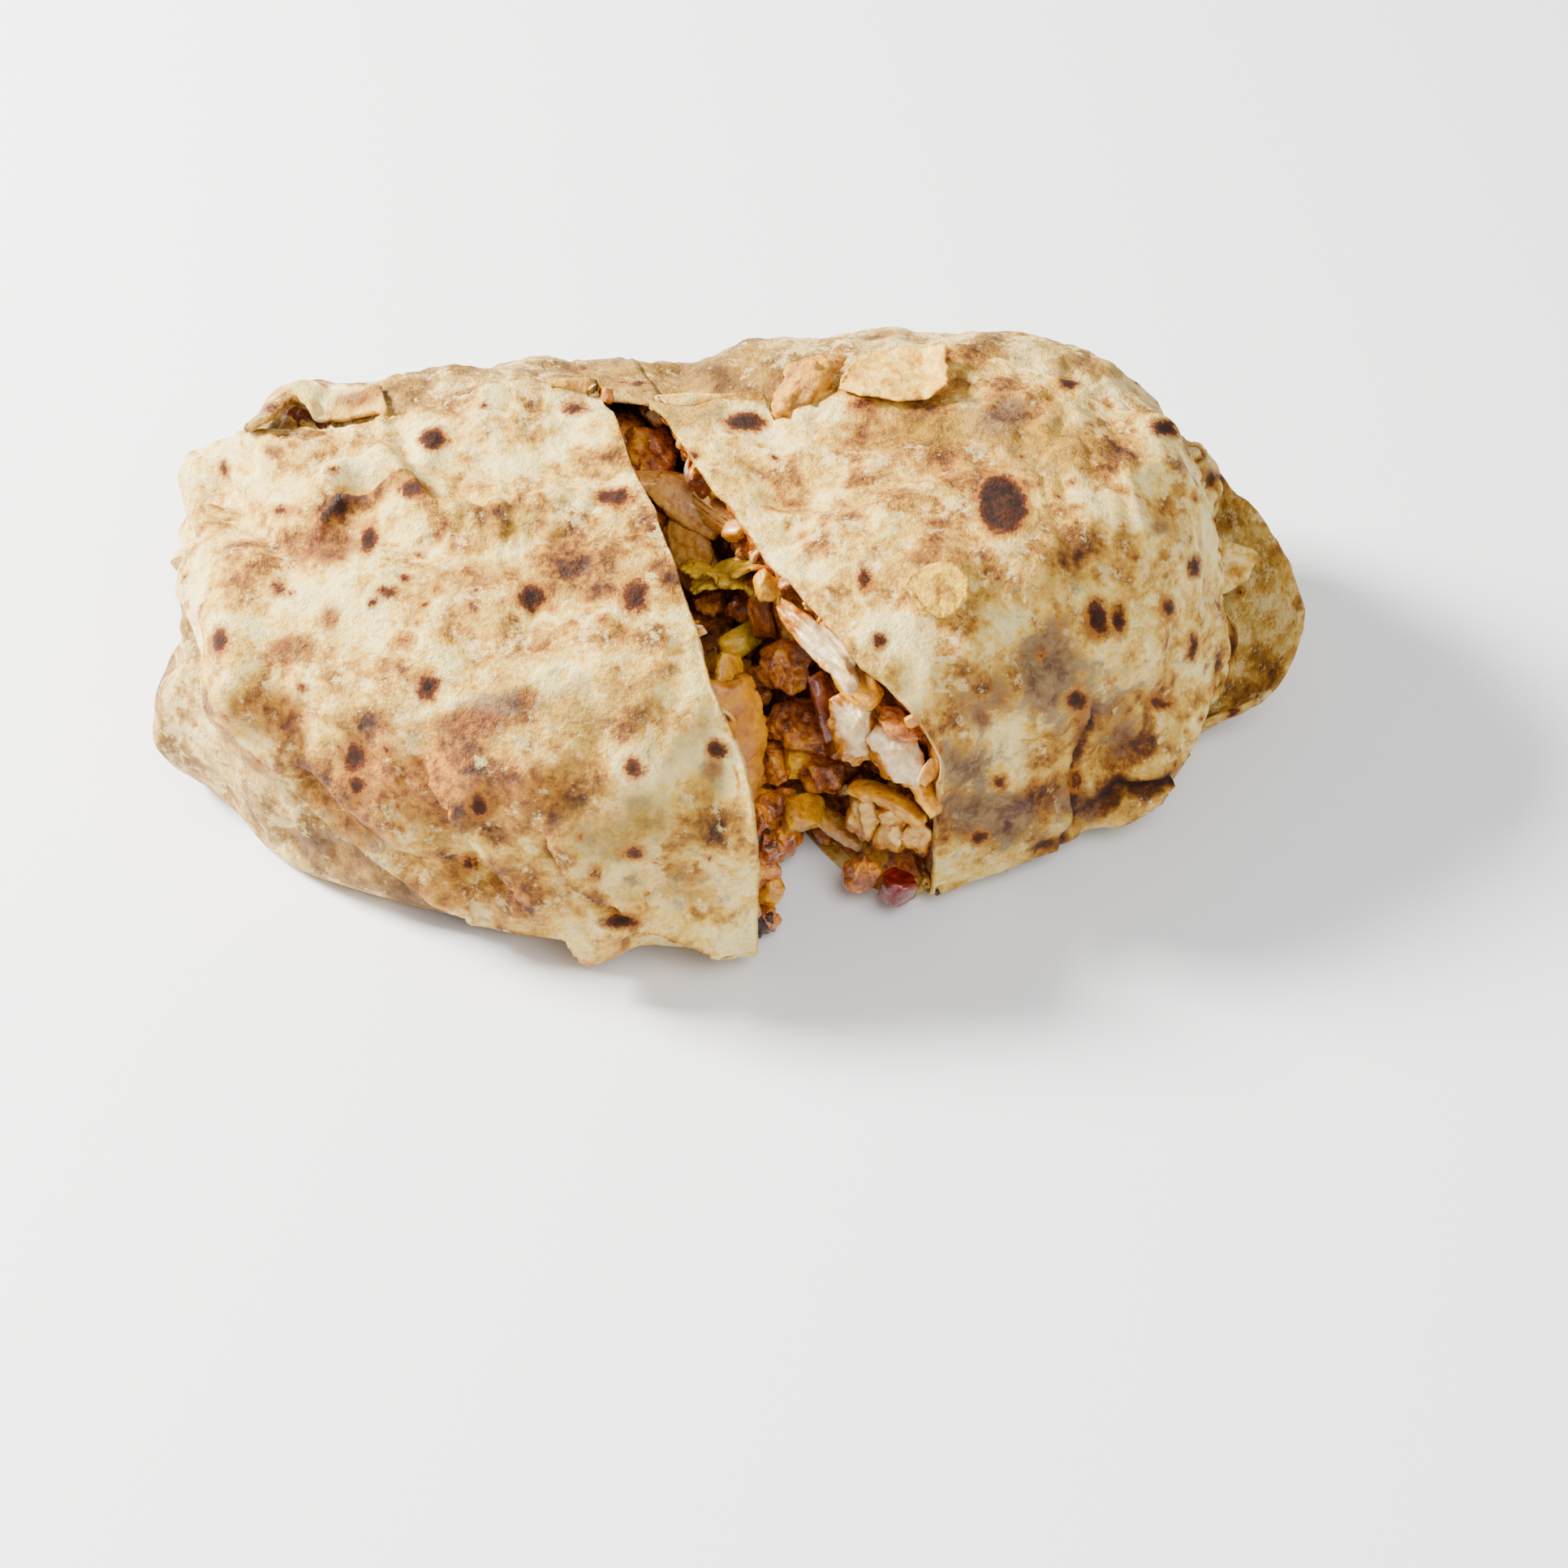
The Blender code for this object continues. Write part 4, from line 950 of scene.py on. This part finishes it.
# Thick kinds: power that squares them, dents, fibre, facets. The rest are CHUNKs
LUMPS = {
    "yellow": (0.6, 0.14, 0.16, 3),
    "pale_yellow": (0.6, 0.14, 0.16, 3),
    "orange": (0.6, 0.14, 0.16, 3),
    "tomato_lump": (0.55, 0.25, 0.1, 4),
    "white": (0.75, 0.16, 0.4, 8),
    "pale": (0.75, 0.16, 0.4, 8),
}
CHUNK = (0.9, 0.34, 0.34, 3)
LONG_PIECE = 8.5  # pieces longer than this get a finer mesh
SCRAP_LEVEL, PIECE_LEVEL, LONG_LEVEL = 3, 4, 5


def shape_of(kind, size, seed, level=None):
    """Points, faces and facing directions of one piece of this kind of food."""
    level = level or (LONG_LEVEL if max(size) > LONG_PIECE else PIECE_LEVEL)
    if kind in STRIPS:
        return strip(size, seed, *(SCRAP if level == SCRAP_LEVEL else STRIPS[kind]))
    return lump(size, seed, level, *LUMPS.get(kind, CHUNK))


# More pieces that show in the cut: name, kind of food, centre, size, turn
EXTRAS = (
    ("chicken_edge", "browned", (-12.4, 19.5, 44), (9, 11, 8), (10, 20, 30)),
    ("chicken_back_top", "roast", (12, 20.8, 57.6), (8.5, 15, 6), (10, -4, -42)),
    ("chicken_far", "browned", (-17.5, 25, 42.5), (7, 9, 7), (0, 10, 10)),
    ("chicken_scrap_a", "browned", (-10.5, 10.5, 37), (6, 6, 6), (0, 0, 40)),
    ("onion_slab", "onion", (-11.4, 12, 43.5), (5.5, 10, 2.4), (10, 15, 100)),
    ("onion_slab_far", "onion", (-6.2, 4.5, 37), (7, 9, 2.6), (60, -20, -10)),
    ("onion_curl", "onion", (-2.6, 5.5, 43), (4, 12, 2.2), (15, -50, 40)),
    ("leaf_low", "leaf", (0.2, -6, 40), (8, 15, 0.8), (-30, 20, 75)),
    ("chicken_scrap_b", "browned", (-2.6, -2.5, 31), (5.5, 6.5, 6), (0, 30, 0)),
    ("chicken_scrap_c", "browned", (2.4, -5.5, 31.5), (6, 5, 6), (20, 0, 0)),
    ("pepper_scrap", "orange", (4.6, -4, 34.5), (4, 5, 4), (20, 0, 60)),
    ("pale_shred", "pale", (9.8, -14, 38), (4, 10, 3), (50, 0, 20)),
    ("chicken_scrap_d", "browned", (4.2, -16.5, 23.5), (6, 7, 6), (0, 0, 10)),
    ("heap_yellow", "yellow", (11.6, -25.5, 18), (8, 7, 7), (0, 20, 30)),
    ("heap_brown", "browned", (15.6, -29, 17.5), (8, 8, 7), (0, 0, 70)),
    ("heap_side", "browned", (7.4, -26.5, 16), (7, 8, 8), (0, 30, 0)),
    ("heap_low_a", "browned", (7.6, -30.5, 11), (8, 7, 8), (10, 0, 50)),
    ("heap_low_b", "yellow", (12.6, -32.5, 10.5), (8, 7, 6), (0, 0, 15)),
    ("heap_low_c", "browned", (9.4, -33.4, 6.5), (8, 6, 7), (0, 0, 80)),
    ("onion_foot", "onion", (18, -33, 8), (6, 11, 2.2), (15, 30, 60)),
    ("edge_chicken_a", "browned", (4.6, -43.4, 22), (4.5, 5, 6), (0, 0, 0)),
    ("edge_chicken_b", "browned", (6.6, -45.2, 16.5), (5, 5, 6.5), (10, 0, 30)),
    ("edge_chicken_c", "yellow", (7.2, -47.2, 9), (4.5, 4.5, 5.5), (0, 20, 0)),
    ("edge_chicken_d", "browned", (6.6, -49.6, 4.6), (4.5, 4.5, 5), (0, 0, 40)),
    ("yellow_rim_strip", "yellow_slice", (30.6, -41.4, 27.5), (4.5, 11, 2.2), (30, 20, 50)),
    ("pale_slice_a", "pale", (27.6, -41, 20), (8, 4, 6), (0, 20, 20)),
    ("pale_slice_b", "pale", (30.4, -42.2, 15.5), (6, 4, 6.5), (0, -10, 20)),
    ("pale_shred_low", "pale", (23, -39.2, 17), (3.4, 4.5, 9.5), (0, -10, 20)),
    ("skin_strip", "yellow", (20.6, -33.6, 42), (5.5, 10, 4.5), (10, -30, 38)),
    ("skin_strip_low", "browned", (27.2, -38, 37.4), (5, 8, 5), (20, -30, 44)),
    ("pepper_fold", "orange", (18.4, -30.6, 27), (4, 5, 7), (0, 20, 10)),
    ("chicken_scrap_e", "browned", (13, -21.6, 20), (8, 7, 6), (0, 0, 30)),
    ("yellow_fold", "yellow", (-0.6, -17, 27), (5, 8, 6), (0, 30, 10)),
    ("pale_fold", "yellow_slice", (-0.2, -22, 31), (5, 9, 2.4), (50, 30, 20)),
)


def build_bite(name, kind, centre, size, turn, seed, sauce_seed, foods, node=None):
    points, faces, ways = shape_of(kind, size, seed, None if node else PIECE_LEVEL)
    points = turned(points, turn, centre)
    if not node:
        keep_above(LOWEST, points)
    skin = sauced(points, turned(ways, turn), sauce_seed)
    make_food(name, kind, points, faces, skin, foods, [node] if node else ())


def build_bites(foods):
    for k, (node, name, kind, size, turn) in enumerate(BITES):
        build_bite(name, kind, centre_of(node), size, turn, 100 + 9 * k, k, foods, node)
    for k, (name, kind, centre, size, turn) in enumerate(EXTRAS):
        build_bite(name, kind, centre, size, turn, 500 + 11 * k, k, foods)


# Loose pieces between the bites: kind, how many, least and greatest size
SCATTER = (
    ("browned", 62, 2.6, 5.6),
    ("white", 26, 2.2, 4.6),
    ("yellow", 34, 1.8, 4.2),
    ("orange", 26, 1.6, 3.8),
    ("onion", 20, 4, 7.5),
    ("slice", 12, 4, 7),
)


def scatter_places(core, rows):
    """Places over the lumpy face of a core, each with its chance of a loose piece: least in the middle."""
    grid = core.reshape(rows, -1, 3)[2:]
    share = np.linspace(1, 0, len(grid))
    weight = np.repeat(share / share.sum(), grid.shape[1]) / grid.shape[1]
    return grid.reshape(-1, 3), weight


def build_scatter(cores, heap, foods):
    local = np.random.default_rng(17)
    for number, (kind, count, least, most) in enumerate(SCATTER):
        parts, polygons, skins, total = [], [], [], 0
        for k in range(count):
            source, weight, outward = cores[k % 2] if k % 4 < 3 else heap
            centre = source[local.choice(len(source), p=weight)]
            size = local.uniform(least, most)
            shape = size * local.uniform((0.7, 0.9, 0.6), (1.0, 1.4, 0.9))
            if kind in STRIPS:
                shape = (size * 0.55, size, 0.9)
            points, faces, ways = shape_of(kind, shape, 1000 + 97 * number + 7 * k, SCRAP_LEVEL)
            turn = local.uniform(-180, 180, 3)
            points = turned(points, turn, centre + outward * 0.15 * size)
            parts.append(points)
            polygons += [tuple(i + total for i in face) for face in faces]
            skins.append(sauced(points, turned(ways, turn), k))
            total += len(points)
        points = np.concatenate(parts)
        keep_above(0.5, points)
        make_food(f"loose_{kind}", kind, points, polygons, np.concatenate(skins), foods)


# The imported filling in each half: how far it is inside the skin, its rows, its lumps and their height
CORE_INSET, CORE_ROWS, CORE_LUMPS, CORE_LUMP_HEIGHT = 2.5, 64, 420, 2.4


def packed(points, centres):
    """Relief of closely packed lumps round these centres, 0 in the gaps to 1, and a random value for each lump."""
    away = np.linalg.norm(points[:, None] - centres[None], axis=2)
    order = np.partition(away, 1, axis=1)
    gap = order[:, 1] - order[:, 0]
    value = np.random.default_rng(5).random(len(centres))[away.argmin(1)]
    return smooth_step(0.0, 3.2, gap), value


def build_core(side, points, normals, outward, foods):
    """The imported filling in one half: a lumpy face just inside the cut, over a plug that fills the cavity."""
    edge, plug = ((points[row] - normals[row] * CORE_INSET)[::2] for row in (2, 15))
    keep_above(1.0, edge)
    keep_above(1.5, plug)
    middle = edge.mean(0)
    inner = [middle + (edge - middle) * share for share in np.linspace(1, 0.02, CORE_ROWS)[1:]]
    rows = np.array([plug, edge] + inner)
    count, around = rows.shape[:2]
    flat = rows.reshape(-1, 3)
    local = np.random.default_rng(3 if side == "left" else 4)
    low, high = edge.min(0), edge.max(0)
    centres = local.uniform(low, high, (CORE_LUMPS, 3))
    centres = centres - ((centres - middle) @ outward)[:, None] * outward
    height, value = packed(flat, centres)
    deep = np.repeat(np.concatenate(((0, 0), np.linspace(0, 1, CORE_ROWS - 1) ** 0.3)), around)
    out = CORE_LUMP_HEIGHT * height + 2.0 * noise(flat, 9.0, 51) + 0.7 * noise(flat, 3.0, 52) - 1.9
    flat = flat + outward * (deep * out)[:, None]
    faces = list(grid_quads(count, around, closed=True))
    ring = np.arange(around)
    faces += [ring[::-1], (count - 1) * around + ring]
    make_food(f"filling_core_{side}", "core", flat, faces, 1.2 * value * height, foods, [f"filling_{side}"])
    return *scatter_places(flat, count), outward


# The heap between the halves, from its heel at the back to its toe: where it is in plan, width, height
HEEL, TOE = np.array((-17, 26, 10, 34)), np.array((12.5, -27, 22, 9))
HEAP_LUMPS, HEAP_LUMP_HEIGHT = 90, 1.6


def build_spill(foods):
    """The heap between the halves, kept in the CAD heap's box."""
    low, high = np.array(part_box("filling_spill")) / MM - ORIGIN
    ball, faces = SPHERES[LONG_LEVEL]
    share = (ball[:, :1] + 1) / 2
    wide, tall = (HEEL[2:] * (1 - share) + TOE[2:] * share).T
    run = unit(TOE[:2] - HEEL[:2])
    beside = np.array((-run[1], run[0]))
    plan = HEEL[:2] + (TOE - HEEL)[:2] * share + beside * (wide / 2)[:, None] * ball[:, 1:2]
    points = np.column_stack((plan, 0.6 + tall * (ball[:, 2] + 1) / 2))
    centres = np.random.default_rng(8).uniform(low, high, (HEAP_LUMPS, 3))
    height, value = packed(points, centres)
    points = points + ball * (HEAP_LUMP_HEIGHT * height + 0.5 * noise(points, 2.5, 61) - 1.5)[:, None]
    points = points.clip(low, high)
    make_food("filling_heap", "core", points, faces, 1.2 * value * height, foods, ["filling_spill"])
    upper = ball[:, 2] > 0
    return points, upper / upper.sum(), np.array((0.0, -0.4, 0.9))


# ---------------------------------------------------------------- loose sheets of tortilla


HINGE_THICK, FRILL_THICK, FLAP_THICK, FLAKE_THICK = 0.8, 1.3, 1.2, 0.7
# The hinge strip: columns of it under the halves, rows of each half that it laps over, how far it stands off
HINGE_UNDER, HINGE_LAP, HINGE_LIFT = 34, 5, 0.1


def build_hinge(left, right, material):
    """The uncut strip of back wall between the halves, each given as build_half returns it."""
    columns = np.arange(-HINGE_UNDER, BACK_POINTS)
    first, last = (points[:, columns] + HINGE_LIFT * normals[:, columns] for points, normals, _ in (left, right))
    share = np.linspace(0, 1, 10)[1:-1, None, None]
    between = first[0] * (1 - share) + last[0] * share
    middle = np.concatenate((first[HINGE_LAP - 1 :: -1], between, last[:HINGE_LAP]))
    middle = middle + 0.25 * noise(middle, 6.0, 71)[..., None]
    points, faces = closed_sheet(middle, HINGE_THICK)
    make_sheet("hinge", points, faces, material, 0.0, 6, lowest=0.3)


FRILL = (  # root and rim, from back to front
    ((70, 34, 30), (79.5, 33, 33)),
    ((73, 29, 24), (84.5, 27.5, 30.5)),
    ((74, 24, 17), (92.5, 18, 26)),
    ((74, 14, 11), (97.2, 5, 21)),
    ((73.5, 5, 7), (92.5, -5, 13)),
    ((70, -5, 5), (78.5, -9.5, 6)),
)
# The waves along its rim and their height, how far it sags, and how far its rim turns up
FRILL_WAVES, WAVE_HEIGHT, FRILL_SAG, FRILL_UPTURN = 3.2, 1.1, 4.2, 0.8


def build_frill(material):
    """The loose end of the tortilla at the right, waved, with its rim turned up."""
    roots, rims = np.array(FRILL).swapaxes(0, 1)
    grid = []
    for share in np.linspace(0, 1, 120):
        root, rim = spline(roots, share), spline(rims, share)
        out = np.linspace(0, 1, 44)
        line = root + (rim - root) * out[:, None]
        ripple = WAVE_HEIGHT * out**1.5 * math.sin(share * math.tau * FRILL_WAVES + 0.6)
        line[:, 2] += ripple - FRILL_SAG * np.sin(math.pi * out**1.2) + FRILL_UPTURN * out**6
        grid.append(line)
    middle = np.array(grid)
    shift = 0.9 * noise(middle, 8.0, 81) + 0.35 * noise(middle, 3.0, 82, 2)
    middle = middle + shift[..., None] * (0.3, 0, 1)
    points, faces = closed_sheet(middle, FRILL_THICK)
    make_sheet("frill", points, faces, material, 0.5, 3)


END_FOLDS = (  # name, centre, size, turn
    ("end_fold_low", (78.5, 4, 13), (16, 25, 16), (8, -18, -8)),
    ("end_fold_high", (78.2, 26, 31), (12, 17, 15), (0, -10, 8)),
)


def build_end_folds(material):
    """The crumpled ends of the sheet, pushed in above the frill."""
    for name, centre, size, turn in END_FOLDS:
        ball, faces = SPHERES[LONG_LEVEL]
        points = ball * np.array(size) / 2
        folds = 1 - np.abs(noise(ball * (1, 2.2, 1), 0.9, 91)).clip(0, 0.3) / 0.3
        points = points * (1 + 0.12 * noise(ball, 0.6, 92) - 0.12 * folds)[:, None]
        points = turned(points, turn, centre)
        # the crease mask also paints shade into the valleys of the crumpled folds
        make_sheet(name, points, faces, material, 0.6, 2, grime=folds)


def build_ruled(name, lower, upper, bulge, material):
    """A thin flap of tortilla between two edges, each a line of points, bowed up between them."""
    rows, columns = 80, 40
    lower, upper = (np.array([spline(edge, t) for t in np.linspace(0, 1, rows)]) for edge in (lower, upper))
    across = np.linspace(0, 1, columns)[None, :, None]
    middle = lower[:, None] * (1 - across) + upper[:, None] * across
    middle[..., 2] += bulge * np.sin(math.pi * across[..., 0])
    middle = middle + 0.5 * noise(middle, 5.0, 87, 2)[..., None]
    points, faces = closed_sheet(middle, FLAP_THICK)
    make_sheet(name, points, faces, material, 0.9, 2)


# How far the flaps bow up between their edges
TIP_BULGE, HOOD_BULGE = 1.2, 0.8
# A flap that stands on the frill: its two edges
FRILL_TIP = (
    ((80.5, 17, 27), (84.5, 15, 28.2), (90.5, 12.6, 26)),
    ((80.5, 9, 22.5), (84, 7.6, 22.8), (88, 9.8, 24.2)),
)
# The hood over the opening at the back left: its edges at (x, up), with how far each stands off the wrap
HOOD = (
    (
        (-79, 46.4, 0.8), (-77.2, 47.2, 1.6), (-74.9, 48.2, 2.2), (-72.4, 52.4, 4.4),
        (-69.8, 50.8, 3.4), (-67, 49, 1.8), (-61, 49.4, 0.6), (-56, 49.6, -0.8),
    ),
    (
        (-79.3, 46.8, 0.8), (-78.2, 50, 1.6), (-76.4, 53.6, 2.2), (-73.4, 55.8, 2.6),
        (-69.6, 56.2, 2.4), (-66.3, 56, 1.8), (-62.3, 55.4, 0.6), (-58, 54.4, -0.8),
    ),
)


def drape(edge, surface):
    """Points of an edge given at (x, up, stand-off), laid over the side of the surface that faces the camera."""
    seen = facing(surface)
    front = surface @ TOWARDS
    points = []
    for x, up, lift in edge:
        away = np.hypot(seen[:, 0] - x, seen[:, 1] - up)
        close = away < max(1.2, away.min() + 0.3)
        points.append(x * ACROSS + up * UPWARD + (front[close].max() + lift) * TOWARDS)
    return points


def lay_on(plan, surface):
    """Heights of a surface, given as points, under (rows, columns, 2) places in plan."""
    near = surface[(surface[:, 2] > 40) & (np.abs(surface[:, :2] - plan.mean((0, 1))).max(1) < 22)]
    height = np.empty(plan.shape[:2])
    for row, places in enumerate(plan):
        away = np.linalg.norm(places[:, None] - near[None, :, :2], axis=2)
        height[row] = np.where(away < 0.9, near[None, :, 2], 0).max(1)
    return height


# The torn flakes: node, ends along X, front and back edges at even places along it, how far its end curls up,
# and the name and tones of its material
FLAKES = (
    (
        "flake_large", (18.5, 36), ((17.5, 15, 14.6, 14.4, 14.5, 15.5), (19, 26, 27, 27, 26.8, 25)), 2.2,
        "pale_flake", ((184, 120, 0), (228, 174, 48), (250, 212, 110)),
    ),
    (
        "flake_small", (28.3, 38), ((-27, -31, -32, -31.6, -28.5), (-26.4, -24, -23.2, -23.6, -26.5)), 0.5,
        "golden_flake", ((160, 106, 0), (208, 156, 0), (236, 194, 24)),
    ),
)


def build_flake(node, ends, widths, curl, surface, material):
    """A torn flake of tortilla lying on the wrap."""
    u, v = np.meshgrid(np.linspace(0, 1, 60), np.linspace(0, 1, 40), indexing="ij")
    front, back = (np.interp(u, np.linspace(0, 1, len(w)), w) for w in widths)
    x = ends[0] + (ends[1] - ends[0]) * u
    y = front + (back - front) * v
    torn = noise(np.stack((x, y, 0 * x), -1), 2.6, 96, 3)
    x = x + 0.5 * torn * np.abs(2 * u - 1) ** 6 * np.sign(u - 0.5)
    y = y + 0.5 * torn * np.abs(2 * v - 1) ** 6 * np.sign(v - 0.5)
    plan = np.stack((x, y), -1)
    z = lay_on(plan, surface)
    z = (z + np.maximum(np.roll(z, 3, 0), np.roll(z, -3, 0))) / 2
    z = z.mean() * 0.3 + z * 0.7 + 0.6 + curl * smooth_step(0.78, 1.0, u) + 0.25 * torn
    z = z + 0.6 * np.abs(2 * v - 1) ** 3
    points, faces = closed_sheet(np.stack((x, y, z), -1), FLAKE_THICK)
    make_piece(node, points, faces, material, [node])


def flake_material(name, tones):
    s = Shader(name)
    cloud, fine = s.noise(3.5, 7, 0.7), s.noise(0.9, 5, 0.7)
    stops = ((place, *tone) for place, tone in zip((0.4, 0.5, 0.6), tones))
    base = s.ramp(s.sum((cloud, 0.7), (fine, 0.3)), *stops)
    s.bump(fine, 0.4)
    return s.finish(base_color=base, roughness=0.55, subsurface_weight=0.06, subsurface_scale=0.002)


# ---------------------------------------------------------------- stage


def build_stage():
    bpy.ops.mesh.primitive_plane_add(size=4.0, location=(0, 0, 0))
    floor = bpy.context.object
    floor.name = "floor"
    s = Shader("floor_paint")
    floor.data.materials.append(s.finish(base_color=colour(246, 247, 247), roughness=0.5))


# Area lights: name, place, power, size, tint
LIGHTS = (
    ("key", (-0.72, 0.20, 0.56), 50.0, 0.25, (1.0, 0.98, 0.94)),
    ("fill", (0.3, -0.5, 0.85), 9.0, 0.6, (1, 1, 1)),
)
LIGHT_AIM = (0, 0, 0.02)
SKY, SKY_STRENGTH = (0.95, 0.97, 1.0, 1.0), 0.54
CAMERA_AIM = np.array((9.3, -15.5, 0.0))
CAMERA_DISTANCE = 628.0


def build_camera():
    data = bpy.data.cameras.new("camera")
    data.lens, data.sensor_width, data.clip_start = 85.0, 36.0, 0.01
    camera = add_object("camera", data)
    camera.location = (CAMERA_AIM + ORIGIN + TOWARDS * CAMERA_DISTANCE) * MM
    camera.rotation_euler = (math.pi / 2 - FACING, 0, 0)
    bpy.context.scene.camera = camera


def light_scene():
    world = bpy.data.worlds.new("studio")
    bpy.context.scene.world = world
    world.use_nodes = True
    inputs = world.node_tree.nodes["Background"].inputs
    inputs["Color"].default_value, inputs["Strength"].default_value = SKY, SKY_STRENGTH
    for name, place, power, size, tint in LIGHTS:
        data = bpy.data.lights.new(name, "AREA")
        data.energy, data.size, data.color = power, size, tint
        light = add_object(name, data)
        light.location = place
        light.rotation_euler = (Vector(LIGHT_AIM) - Vector(place)).to_track_quat("-Z", "Y").to_euler()


def main():
    build_stage()
    skin = tortilla_material()
    foods = {kind: food_material(f"{kind}_food", tones, **rest) for kind, (_, tones, rest) in FOODS.items()}
    rings, cores = {}, []
    for side in ("left", "right"):
        rings[side] = build_half(side, skin)
        cores.append(build_core(side, *rings[side], foods))
    build_hinge(rings["left"], rings["right"], skin)
    build_frill(skin)
    build_end_folds(skin)
    build_ruled("frill_tip", *FRILL_TIP, TIP_BULGE, skin)
    wrap = rings["left"][0].reshape(-1, 3)
    build_ruled("hood", *(drape(edge, wrap) for edge in HOOD), HOOD_BULGE, skin)
    heap = build_spill(foods)
    build_bites(foods)
    build_scatter(cores, heap, foods)
    top = rings["right"][0].reshape(-1, 3)
    for node, ends, widths, curl, name, tones in FLAKES:
        build_flake(node, ends, widths, curl, top, flake_material(name, tones))
    build_camera()
    light_scene()


main()
